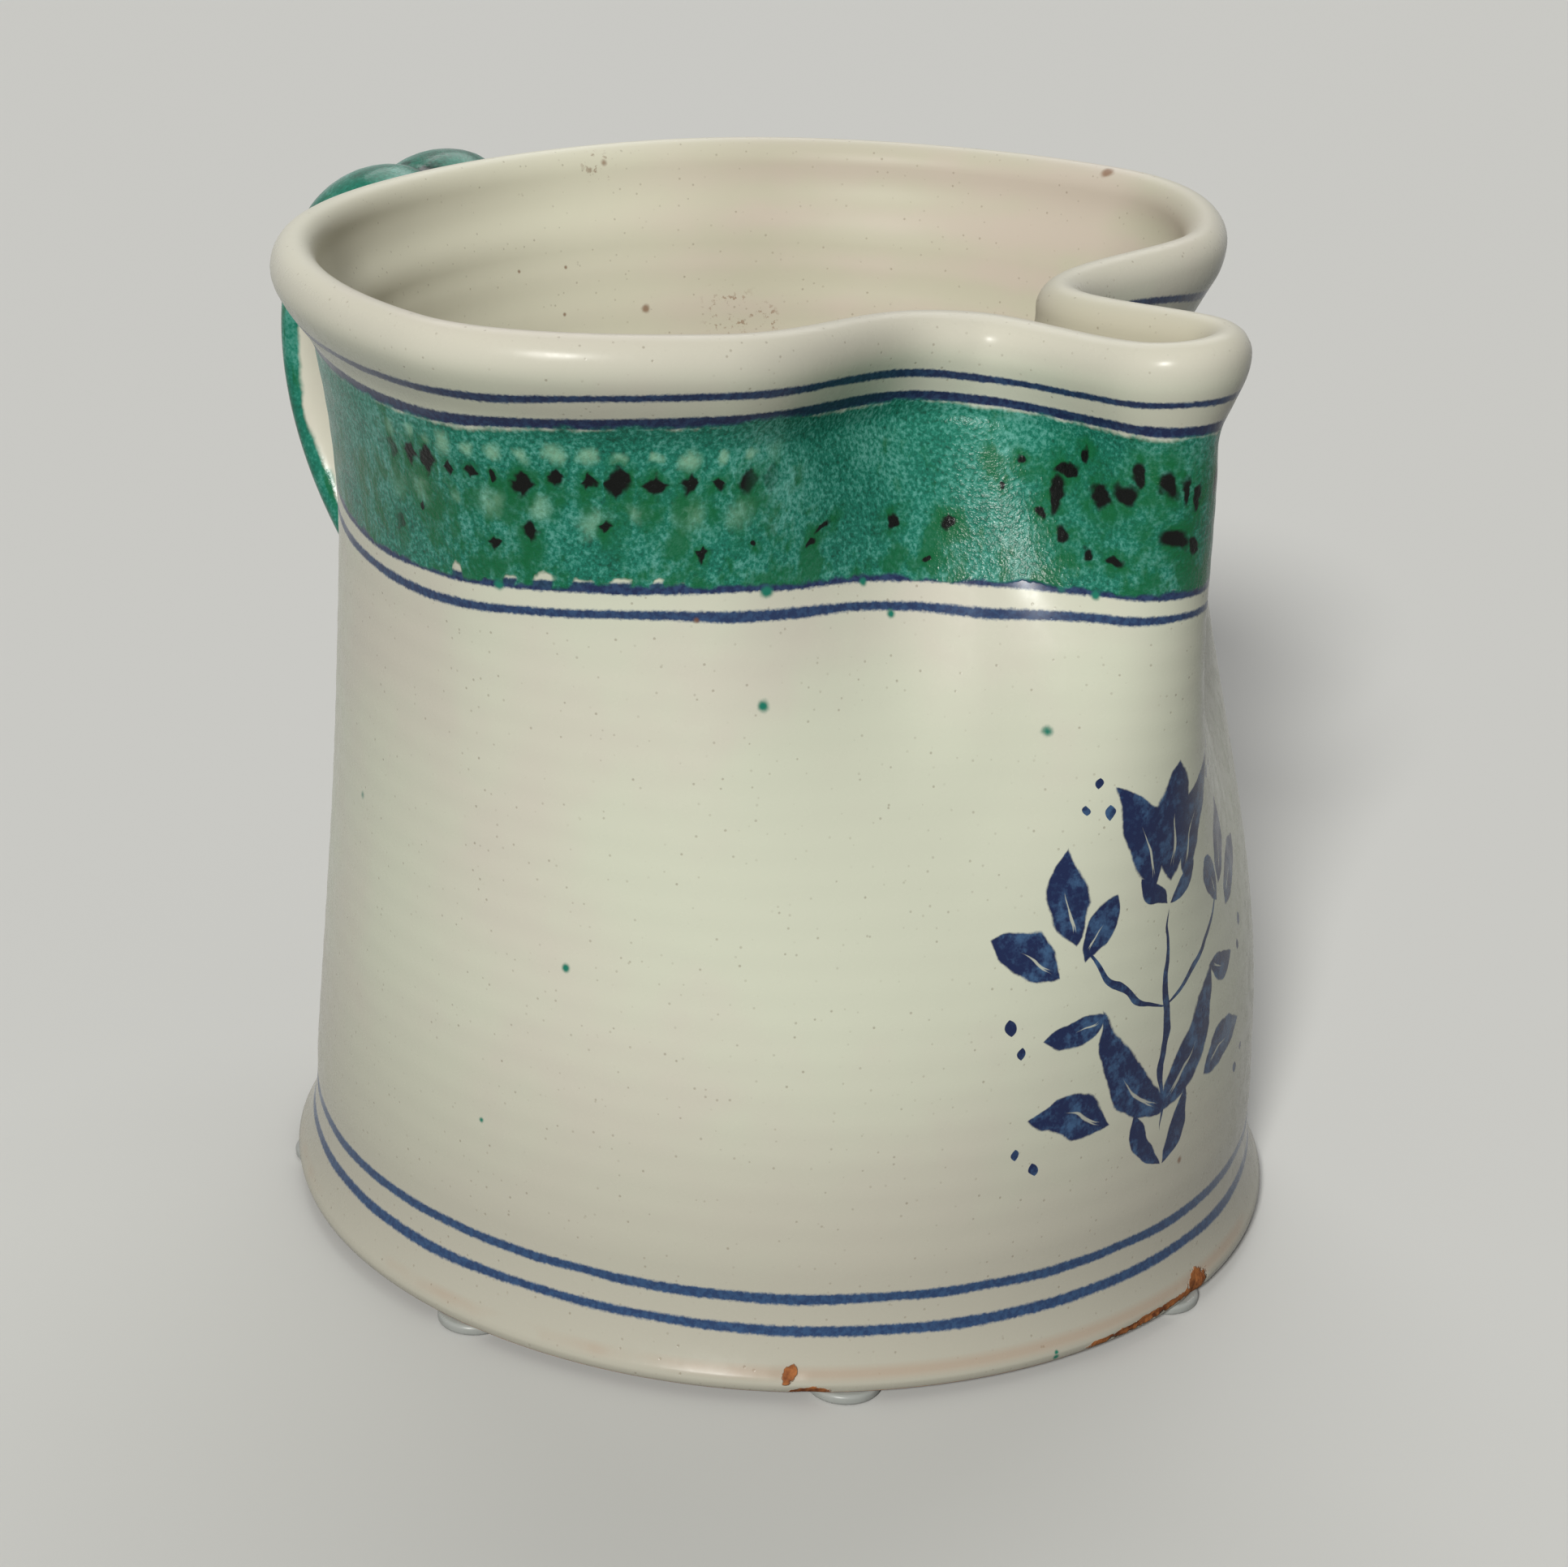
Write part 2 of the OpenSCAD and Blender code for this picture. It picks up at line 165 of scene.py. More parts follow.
class PITCHER_glaze_colours(bpy.types.PropertyGroup):
    """Colours of the glazes, the paints and the clay"""
    cream: glaze("Cream", "Tin glaze over most of the body", "#D0D3C0")
    blush: glaze("Blush", "Tin glaze where the clay warms it", "#D0C7BC")
    # Painted shade: the cream glaze is darkened low on the jug, standing in for the light falling off towards
    # the floor
    low_shade_glaze: glaze("Thin glaze", "Cream glaze low on the jug, where it ran thin", "#B3B0A2")
    lining: glaze("Lining", "Glaze inside the jug", "#BDB9A5")
    lining_warm: glaze("Warm lining", "Glaze inside the jug where the clay warms it", "#C2B7A9")
    # Painted light: the lining is made paler towards the back of the inside, standing in for light bounced
    # round inside the jug
    lining_bounce_lit: glaze("Thick lining", "Glaze at the back of the inside, where it lies thick", "#DDDBC6")
    pinhole: glaze("Pinhole", "Clay at the bottom of a pinhole", "#7A6B55")
    cobalt: glaze("Cobalt", "Thick cobalt paint", "#0D1F4C")
    cobalt_wash: glaze("Cobalt wash", "Thin cobalt paint", "#3A5B82")
    copper_deep: glaze("Deep copper", "Thick copper glaze", "#14503F")
    copper: glaze("Copper", "Copper glaze", "#217864")
    copper_pale: glaze("Pale copper", "Thin copper glaze", "#68AC9F")
    pale_dab: glaze("Pale dab", "Pale spots dabbed into the copper band", "#9CC9A8")
    emerald: glaze("Emerald", "Copper glaze where it runs", "#115F37")
    manganese: glaze("Manganese", "Dark spots", "#0B0D0B")
    iron: glaze("Iron", "Iron that came through the glaze", "#7A5233")
    clay: glaze("Clay", "Red clay where the glaze is chipped", "#A5683C")
    clay_dark: glaze("Dark clay", "Clay that the fire darkened", "#6E3E25")
    pad: glaze("Pad", "Clear soft plastic", "#DADDD8")
    pad_cloud: glaze("Cloudy pad", "Clear soft plastic where it is cloudy", "#BFC4BF")
    floor: glaze("Floor", "Pale floor under the jug", "#D3D3D0")
    floor_bounce: glaze("Floor in bounced light", "Colour of the light that the floor throws back", "#585856")


def mix(a, b, share):
    return a + (b - a) * share


def clamp(value):
    return min(max(value, 0.0), 1.0)


def ease(t):
    return t * t * (3 - 2 * t)


def flow(start, end, leave, arrive, t):
    """A point of the smooth curve from start to end that leaves and arrives with these slopes."""
    return (start * (2 * t ** 3 - 3 * t ** 2 + 1) + leave * (t ** 3 - 2 * t ** 2 + t)
            + end * (3 * t ** 2 - 2 * t ** 3) + arrive * (t ** 3 - t ** 2))


class ThrownShape:
    """Form of the thrown body: a round profile, and the pinch that draws its top out into a spout."""
    belly_power = 1.25
    flare_power = 2
    pinch_power = 2
    dip_width = radians(24)
    sag_turn = radians(192)
    sag_width = radians(34)
    flank_turn = radians(-17)
    flank_width = radians(15)
    # Turn to either side of a place, over which the lip's direction there is taken
    nudge = radians(0.4)

    def __init__(self, sizes):
        self.s = s = SimpleNamespace(**{name: getattr(sizes, name) for name in sizes.__annotations__})
        self.foot_r, self.base_r, self.waist_r = s.foot_d / 2, s.base_d / 2, s.waist_d / 2
        self.neck_r, self.lip_r, self.half_lip = s.neck_d / 2, s.lip_d / 2, s.lip_w / 2
        self.bore_r = min(self.foot_r - s.foot_ring_w, self.base_r - s.wall_t)
        self.waist_z = s.body_h - s.waist_drop
        self.bulge_z = s.body_h - s.lip_round
        self.pinch_z = s.body_h - s.pinch_depth
        self.tip_r = s.spout_w / 2
        self.tip_x = s.spout_reach - self.tip_r
        self.knots = [
            Vector((self.tip_x, self.tip_r)),
            Vector((s.throat_x, s.throat_w / 2)),
            s.flank_r * Vector((cos(s.flank_a), sin(s.flank_a))),
            self.lip_r * Vector((cos(s.flank_end), sin(s.flank_end))),
        ]
        self.headings = [
            Vector((-1, 0)),
            (self.knots[2] - self.knots[0]).normalized(),
            (self.knots[3] - self.knots[1]).normalized(),
            Vector((-sin(s.flank_end), cos(s.flank_end))),
        ]
        reach = [pi / 2 * self.tip_r]
        for near, far in zip(self.knots, self.knots[1:]):
            reach.append(reach[-1] + (far - near).length)
        self.knot_turns = [s.flank_end * part / reach[-1] for part in reach]

    def skin_r(self, z):
        """Radius of the outside, before the pinch."""
        if z < self.waist_z:
            drop = (self.waist_z - z) / (self.waist_z - FOOT_TOP)
            return mix(self.waist_r, self.base_r, drop ** self.belly_power)
        if z < NECK_Z:
            rise = (z - self.waist_z) / (NECK_Z - self.waist_z)
            return mix(self.waist_r, self.neck_r, rise ** self.flare_power)
        if z < self.bulge_z:
            return mix(self.neck_r, self.lip_r + self.half_lip, ease(self.lip_share(z)))
        over = clamp((z - self.bulge_z) / self.s.lip_round)
        return self.lip_r + self.half_lip * sqrt(1 - over ** 2)

    def lining_r(self, z):
        """Radius of the inside, before the pinch."""
        if z < NECK_Z:
            return self.skin_r(z) - self.s.wall_t
        return mix(self.neck_r - self.s.wall_t, self.lip_r - self.half_lip, ease(self.lip_share(z)))

    def lip_share(self, z):
        """How far up the lip's roll this height is: 0 at the neck, 1 at its widest."""
        return clamp((z - NECK_Z) / (self.bulge_z - NECK_Z))

    def crest(self, a):
        """Where the lip's crest lies at this turn from the spout."""
        side, a = (1 if a >= 0 else -1), abs(a)
        if a <= self.knot_turns[0]:
            swept = pi / 2 * a / self.knot_turns[0]
            place = Vector((self.tip_x + self.tip_r * cos(swept), self.tip_r * sin(swept)))
        elif a >= self.s.flank_end:
            place = self.lip_r * Vector((cos(a), sin(a)))
        else:
            i = max(k for k in range(3) if a >= self.knot_turns[k])
            t = (a - self.knot_turns[i]) / (self.knot_turns[i + 1] - self.knot_turns[i])
            chord = (self.knots[i + 1] - self.knots[i]).length
            leave, arrive = self.headings[i] * chord, self.headings[i + 1] * chord
            place = flow(self.knots[i], self.knots[i + 1], leave, arrive, t)
        return Vector((place.x, side * place.y))

    def outward(self, a):
        """Direction straight out from the lip's crest at this turn."""
        along = self.crest(a + self.nudge) - self.crest(a - self.nudge)
        return Vector((along.y, -along.x)).normalized()

    def spoke(self, a):
        """All that the pinch needs at one turn: crest, outward direction, necking and lift of the lip."""
        crest = self.crest(a)
        throat = self.knot_turns[1]
        necking = ease(clamp((abs(a) - throat) / (self.s.flank_end - throat)))
        lift = (self.s.lip_lean * crest.y / self.lip_r
                - self.s.throat_dip * exp(-((abs(a) - throat) / self.dip_width) ** 2)
                - self.s.handle_sag * exp(-((a % tau - self.sag_turn) / self.sag_width) ** 2)
                - self.s.flank_sag * exp(-(((a + pi) % tau - pi - self.flank_turn) / self.flank_width) ** 2))
        return crest, self.outward(a), necking, lift

    def pinched(self, a, r, z, spoke):
        """Where a point of the round profile goes when the spout is drawn."""
        crest, outward, necking, lift = spoke
        shrink = (self.neck_r - self.lip_r) * (1 - ease(self.lip_share(z)))
        if z < NECK_Z:
            shrink = self.skin_r(z) - self.lip_r
        off = r - self.lip_r - shrink * (1 - necking)
        pinch = clamp((z - self.pinch_z) / (NECK_Z - self.pinch_z)) ** self.pinch_power
        place = mix(r * Vector((cos(a), sin(a))), crest + outward * off, pinch)
        return Vector((place.x, place.y, z + lift * self.lip_share(z)))


def arc(centre_r, centre_z, half_w, half_h, start, end, steps):
    """Points of an elliptic arc in the half section, without its first point."""
    angles = [radians(mix(start, end, k / steps)) for k in range(1, steps + 1)]
    return [(centre_r + half_w * cos(a), centre_z + half_h * sin(a)) for a in angles]


def run(start, end, steps):
    """Evenly spaced points from start to end, without start."""
    return [(mix(start[0], end[0], k / steps), mix(start[1], end[1], k / steps)) for k in range(1, steps + 1)]


def half_section(shape):
    """The thrown body's half section, from the middle of the underside round the lip to that of the floor.
    Each stretch ends with its number of steps."""
    s = shape.s
    soft = 1 * MM
    cove = 12 * MM
    underside = STAND_Z + s.floor_recess
    floor_top = underside + s.floor_t
    edge_z = STAND_Z + s.foot_edge_h
    points = [(0.0, underside)]
    points += run(points[-1], (shape.bore_r - 2 * soft, underside), 12)
    points += run(points[-1], (shape.bore_r, STAND_Z + soft), 3)
    points += arc(shape.bore_r + soft, STAND_Z + soft, soft, soft, 180, 270, 4)
    points += run(points[-1], (shape.foot_r - s.foot_edge_in, STAND_Z), 5)
    points += arc(shape.foot_r - s.foot_edge_in, edge_z, s.foot_edge_in, s.foot_edge_h, -90, 0, 5)
    for t, _ in run((0, 0), (1, 0), 22):
        sweep = 1 - (1 - t) ** s.foot_power
        points.append((mix(shape.foot_r, shape.base_r, sweep), mix(edge_z, FOOT_TOP, t)))
    points += [(shape.skin_r(z), z) for _, z in run((0, FOOT_TOP), (0, NECK_Z), 96)]
    points += [(shape.skin_r(z), z) for _, z in run((0, NECK_Z), (0, shape.bulge_z), 14)]
    points += arc(shape.lip_r, shape.bulge_z, shape.half_lip, s.lip_round, 0, 180, 18)
    points += [(shape.lining_r(z), z) for _, z in run((0, shape.bulge_z), (0, NECK_Z), 12)]
    cove_top = floor_top + cove
    points += [(shape.lining_r(z), z) for _, z in run((0, NECK_Z), (0, cove_top), 72)]
    points += arc(points[-1][0] - cove, cove_top, cove, cove, 0, -90, 8)
    points += run(points[-1], (0.0, floor_top), 14)
    return points


# Chips along the foot's edge: turn from the spout, height, half length, half height, depth, slant
FOOT_CHIPS = (
    (radians(-46.3), 5.5 * MM, 1.0 * MM, 1.6 * MM, 0.5 * MM, radians(-28)),
    (radians(-44.3), 2.5 * MM, 3.4 * MM, 0.9 * MM, 0.5 * MM, radians(0)),
    (radians(-2.8), 3.4 * MM, 12.6 * MM, 0.8 * MM, 0.5 * MM, radians(2)),
    (radians(6.6), 3.6 * MM, 3.5 * MM, 2.4 * MM, 0.9 * MM, radians(24)),
    (radians(118.0), 2.8 * MM, 4.0 * MM, 0.9 * MM, 0.6 * MM, radians(-4)),
)
# How ragged a chip's outline is, over which size, and how steeply its side falls
CHIP_RAGGED = 0.35
CHIP_GRAIN = 1.8 * MM
CHIP_STEEP = 1.4


def chip_depth(a, r, z):
    """How deep the foot's edge is chipped away here."""
    deepest = 0.0
    for chip_a, chip_z, half_l, half_h, depth, slant in FOOT_CHIPS:
        along, up = (a - chip_a) * r, z - chip_z
        x = (along * cos(slant) + up * sin(slant)) / half_l
        y = (up * cos(slant) - along * sin(slant)) / half_h
        ragged = CHIP_RAGGED * noise.noise(Vector((along, up, chip_a)) / CHIP_GRAIN)
        deepest = max(deepest, depth * clamp(CHIP_STEEP * (1 - hypot(x, y) + ragged)))
    return deepest


def begin(add_primitive):
    """Leaves nothing selected, adds the primitive and opens it for editing."""
    bpy.ops.object.select_all(action="DESELECT")
    add_primitive()
    bpy.ops.object.mode_set(mode="EDIT")
    return bpy.context.object


def finish_piece(piece, name, slot, *nodes):
    """Names a piece, ties it to the jug's body and lets it stand for its solids."""
    bpy.ops.object.mode_set(mode="OBJECT")
    piece.name = piece.data.name = name
    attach(piece, ROOT)
    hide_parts(*nodes)


def close_mesh():
    """Merges what meets, points every face outwards and returns to object mode."""
    bpy.ops.mesh.select_all(action="SELECT")
    bpy.ops.mesh.remove_doubles(threshold=MERGE)
    bpy.ops.mesh.normals_make_consistent(inside=False)
    bpy.ops.object.mode_set(mode="OBJECT")


class PITCHER_OT_thrown_body(bpy.types.Operator):
    """Spin the body from its half section, pinch the spout and glaze it"""
    bl_idname = "pitcher.thrown_body"
    bl_label = "Thrown body"

    spin_steps = 288
    # Thrown and pinched by hand, the wall is uneven by a few tenths of a millimetre
    uneven = 0.3 * MM
    uneven_size = 55 * MM
    inner_ring = 0.10 * MM
    inner_ring_pitch = RING_PITCH * MM
    outer_ring = 0.03 * MM
    outer_ring_pitch = 6.0 * MM
    # The thumb that pinched the spout left one flank fuller, with a crease behind it: by how much, at which
    # turns on the wall and at the lip, how wide behind its middle and before it, the heights between which it
    # grows, and how much of it is left at the lip
    fold_out = 3.4 * MM
    fold_turns = (radians(-26.5), radians(-29.5))
    fold_widths = (radians(6.8), radians(10))
    fold_grows = (98 * MM, 128 * MM)
    fold_at_lip = 0.8
    # The standing face stays flat up to this height, and is bare of glaze up to another, short of the edge
    flat_h = 1 * MM
    bare_h = 0.4 * MM
    bare_in = 0.6 * MM
    # Nearer to the axis than this, a point has no turn of its own
    axis_r = 0.001 * MM

    def execute(self, context):
        shape = ThrownShape(context.scene.pitcher_body)
        body = self.spin(half_section(shape))
        self.pinch(body.data, shape)
        bpy.ops.object.shade_smooth()
        body.data.materials.append(tin_glaze(context.scene.pitcher_colours))
        finish_piece(body, "thrown_body", "glazed_body", "floor_slab", "foot_band", "body_wall", "rolled_lip")
        return {"FINISHED"}

    def spin(self, section):
        """Opens a ring of points into the half section and spins it round the jug's axis."""
        body = begin(lambda: bpy.ops.mesh.primitive_circle_add(vertices=len(section), fill_type="NOTHING"))
        bpy.ops.mesh.select_all(action="DESELECT")
        bpy.ops.object.mode_set(mode="OBJECT")
        for vertex, (r, z) in zip(body.data.vertices, section):
            vertex.co = (r, 0.0, z)
        ends = {0, len(section) - 1}
        for edge in body.data.edges:
            edge.select = set(edge.vertices) == ends
        bpy.ops.object.mode_set(mode="EDIT")
        bpy.ops.mesh.select_mode(type="EDGE")
        bpy.ops.mesh.delete(type="EDGE")
        bpy.ops.mesh.select_mode(type="VERT")
        bpy.ops.mesh.select_all(action="SELECT")
        bpy.ops.mesh.spin(steps=self.spin_steps, angle=tau, center=(0, 0, 0), axis=(0, 0, 1))
        close_mesh()
        return body

    def pinch(self, mesh, shape):
        """Writes the glaze map and moves every point from the round profile to its pinched place."""
        spin_step = tau / self.spin_steps
        spokes = [shape.spoke(k * spin_step if 2 * k <= self.spin_steps else k * spin_step - tau)
                  for k in range(self.spin_steps)]
        rounds = [(atan2(v.co.y, v.co.x), hypot(v.co.x, v.co.y), v.co.z) for v in mesh.vertices]
        self.write_map(mesh, rounds)
        self.write_sides(mesh, shape, rounds)
        normals = [v.normal.copy() for v in mesh.vertices]
        for vertex, (a, r, z), normal in zip(mesh.vertices, rounds, normals):
            lining = self.lining_share(shape, r, z)
            push = self.uneven * noise.noise(vertex.co / self.uneven_size) - SKIN
            coil = a / tau
            along_wall = z + r if z < FOOT_TOP else z
            push += lining * self.inner_ring * sin(tau * (along_wall / self.inner_ring_pitch + coil))
            if z > FOOT_TOP:
                push += (1 - lining) * self.outer_ring * sin(tau * (z / self.outer_ring_pitch + coil))
            faces_out = normal.x * vertex.co.x + normal.y * vertex.co.y > 0
            r_new = r + (push if faces_out else -push) * hypot(normal.x, normal.y)
            z_new = z + push * normal.z if z > STAND_Z + self.flat_h else z
            r_new += (1 - lining) * self.fold(shape, a, z)
            if z < FOOT_TOP and r > shape.bore_r:
                r_new -= chip_depth(a, r, z)
            k = round(a / spin_step) % self.spin_steps
            vertex.co = shape.pinched(a, r_new, z_new, spokes[k])
        mesh.update()

    def fold(self, shape, a, z):
        """How much fuller the spout's pressed flank is here."""
        low, high = self.fold_grows
        up = shape.lip_share(z)
        height = ease(clamp((z - low) / (high - low))) * mix(1.0, self.fold_at_lip, up)
        past = a - mix(*self.fold_turns, up)
        return self.fold_out * height * exp(-(past / self.fold_widths[past > 0]) ** 2)

    def lining_share(self, shape, r, z):
        """1 on the inside of the jug, 0 on its outside, and a soft step over the lip's crest."""
        if z < STAND_Z + shape.s.floor_recess + self.flat_h:
            return 0.0
        if z > shape.bulge_z:
            return clamp(0.5 + (shape.lip_r - r) / shape.s.lip_w)
        return 1.0 if r < (shape.skin_r(z) + shape.lining_r(z)) / 2 else 0.0

    def write_map(self, mesh, rounds):
        """Glaze map in metres: along the turn from the spout, and up the unpinched height."""
        layer = mesh.uv_layers.new(name=GLAZE_MAP)
        for face in mesh.polygons:
            turns = [rounds[i][0] for i in face.vertices if rounds[i][1] > self.axis_r]
            across = max(turns) - min(turns) > pi
            middle = sum(t + tau * (across and t < 0) for t in turns) / len(turns)
            for loop, i in zip(face.loop_indices, face.vertices):
                a, r, z = rounds[i]
                a = middle if r <= self.axis_r else a + tau * (across and a < 0)
                layer.data[loop].uv = (a * MAP_R, z)

    def write_sides(self, mesh, shape, rounds):
        """Marks how far each point is on the inside, and where the standing face is bare of glaze."""
        inside = mesh.attributes.new(INSIDE, "FLOAT", "POINT")
        bare = mesh.attributes.new(BARE, "FLOAT", "POINT")
        for i, (_, r, z) in enumerate(rounds):
            inside.data[i].value = self.lining_share(shape, r, z)
            stands = z < STAND_Z + self.bare_h and r < shape.foot_r - self.bare_in
            bare.data[i].value = 1.0 if stands else 0.0


class PITCHER_OT_strap_handle(bpy.types.Operator):
    """Pull the two-reed strap along its bend, press its roots onto the jug and glaze it"""
    bl_idname = "pitcher.strap_handle"
    bl_label = "Strap handle"

    along_steps = 96
    round_steps = 48
    top_root_share = 0.12
    low_root_share = 0.9
    # Roots reach a little way into the clay that they are pressed on
    sunk = 1.2 * MM
    # How a root leaves the jug: how much it gathers to its middle, and how far it goes straight out
    root_gather = 0.9
    root_reach = 0.5

    def execute(self, context):
        self.s = s = context.scene.pitcher_handle
        self.shape = ThrownShape(context.scene.pitcher_body)
        self.ends = {0: self.shape.s.body_h - s.top_drop, 1: self.shape.s.body_h - s.low_drop}
        self.strap = [
            Vector((self.shape.skin_r(self.ends[0]), self.ends[0])),
            Vector((s.shoulder_x, self.ends[0] + s.shoulder_rise)),
            Vector((s.elbow_x, self.shape.s.body_h - s.elbow_drop)),
            Vector((self.shape.skin_r(self.ends[1]), self.ends[1])),
        ]
        handle = self.pull()
        bpy.ops.object.shade_smooth()
        handle.data.materials.append(brushed_copper_glaze(context.scene.pitcher_colours))
        finish_piece(handle, "strap_handle", "green_glaze", "handle_upper_root", "handle_left_reed",
                     "handle_right_reed", "handle_lower_root")
        return {"FINISHED"}

    def pull(self):
        """Rolls a flat sheet round the two-reed section and along the strap's bend."""
        handle = begin(lambda: bpy.ops.mesh.primitive_grid_add(
            x_subdivisions=self.along_steps, y_subdivisions=self.round_steps, size=1, calc_uvs=True))
        bpy.ops.object.mode_set(mode="OBJECT")
        mesh = handle.data
        mesh.uv_layers[0].name = GLAZE_MAP
        outer = mesh.attributes.new(OUTER_FACE, "FLOAT", "POINT")
        swing = Matrix.Rotation(pi + self.s.swing, 3, "Z")
        for i, vertex in enumerate(mesh.vertices):
            section = self.section(vertex.co.y + 0.5)
            outer.data[i].value = section.y / (self.s.strap_t / 2)
            vertex.co = swing @ self.place(section, vertex.co.x + 0.5)
        bpy.ops.object.mode_set(mode="EDIT")
        bpy.ops.mesh.select_all(action="SELECT")
        bpy.ops.mesh.remove_doubles(threshold=MERGE)
        bpy.ops.mesh.select_all(action="DESELECT")
        bpy.ops.mesh.select_non_manifold()
        bpy.ops.mesh.fill()
        close_mesh()
        return handle

    def section(self, part):
        """A point of the section through both reeds; part runs once round it from 0 to 1."""
        share = 1 - self.s.groove / (self.s.strap_t / 2)
        lean = sqrt(1 - share ** 2)
        half_w = self.s.strap_w / 2 / (1 + lean)
        reach = acos(-lean)
        side, a = 1, mix(-reach, reach, 2 * part)
        if part > 0.5:
            side, a = -1, mix(reach, -reach, 2 * part - 1)
        return Vector((side * half_w * (lean + cos(a)), (self.s.strap_t / 2 - SKIN) * sin(a)))

    def bend(self, t):
        """The strap's middle line and its direction, as distance from the axis and height."""
        p0, p1, p2, p3 = self.strap
        u = 1 - t
        place = p0 * u ** 3 + p1 * (3 * u * u * t) + p2 * (3 * u * t * t) + p3 * t ** 3
        along = (p1 - p0) * (3 * u * u) + (p2 - p1) * (6 * u * t) + (p3 - p2) * (3 * t * t)
        return place, along.normalized()

    def on_strap(self, section, t):
        """Where a point of the section lies on the strap at this share of its length."""
        place, along = self.bend(t)
        tilt = -self.s.shoulder_tilt * sin(pi * t) * section.x / self.s.strap_w
        out = place + Vector((-along.y, along.x)) * section.y
        return Vector((out.x, section.x, out.y + tilt))

    def on_skin(self, section, end):
        """Where a point of the section meets the jug at the root of this end."""
        half_w = self.s.strap_w / 2 + self.s.root_spread
        height = self.s.low_root_h if end else self.s.top_root_h
        across = half_w * section.x / (self.s.strap_w / 2)
        z = self.ends[end] + (-1 if end else 1) * height * section.y / self.s.strap_t
        r = self.shape.skin_r(z) - self.sunk
        return Vector((sqrt(r * r - across * across), across, z))

    def place(self, section, t):
        """A point of the handle: on the strap, or on a root's flare towards the jug."""
        if self.top_root_share <= t <= self.low_root_share:
            return self.on_strap(section, t)
        end = 0 if t < self.top_root_share else 1
        share = self.low_root_share if end else self.top_root_share
        part = (1 - t) / (1 - share) if end else t / share
        seat, neck = self.on_skin(section, end), self.on_strap(section, share)
        chord = (neck - seat).length
        middle = self.on_skin(Vector((0, 0)), end)
        _, along = self.bend(share)
        way = -1 if end else 1
        leave = (middle - seat) * self.root_gather + Vector((1, 0, 0)) * chord * self.root_reach
        arrive = Vector((along.x, 0, along.y)) * chord * way
        return flow(seat, neck, leave, arrive, part)


class PITCHER_OT_foot_pads(bpy.types.Operator):
    """Round one clear pad and set a ring of copies under the foot"""
    bl_idname = "pitcher.foot_pads"
    bl_label = "Foot pads"

    round_steps = 48
    edge_steps = 4
    smooth_under = radians(35)

    def execute(self, context):
        s = context.scene.pitcher_pads
        ring_r = context.scene.pitcher_body.foot_d / 2 - s.pad_inset
        first = begin(lambda: bpy.ops.mesh.primitive_cylinder_add(
            vertices=self.round_steps, radius=s.pad_d / 2 - SKIN, depth=STAND_Z,
            location=(0, 0, STAND_Z / 2)))
        bpy.ops.object.mode_set(mode="OBJECT")
        bpy.ops.object.transform_apply(location=True, rotation=True, scale=True)
        bevel = first.modifiers.new("edge", "BEVEL")
        bevel.width, bevel.segments, bevel.limit_method = s.pad_round, self.edge_steps, "ANGLE"
        bpy.ops.object.modifier_apply(modifier=bevel.name)
        first.data.materials.append(clear_soft_plastic(context.scene.pitcher_colours))
        pads = [first]
        for _ in range(1, s.pad_n):
            bpy.ops.object.select_all(action="DESELECT")
            first.select_set(True)
            context.view_layer.objects.active = first
            bpy.ops.object.duplicate()
            pads.append(context.object)
        for k, pad in enumerate(pads):
            a = s.pad_turn + tau * k / s.pad_n
            pad.data.transform(Matrix.Translation((ring_r * cos(a), ring_r * sin(a), 0)))
        for pad in pads:
            pad.select_set(True)
        context.view_layer.objects.active = first
        bpy.ops.object.join()
        bpy.ops.object.shade_smooth_by_angle(angle=self.smooth_under)
        finish_piece(first, "clear_foot_pads", "clear_pad", "foot_pads")
        return {"FINISHED"}


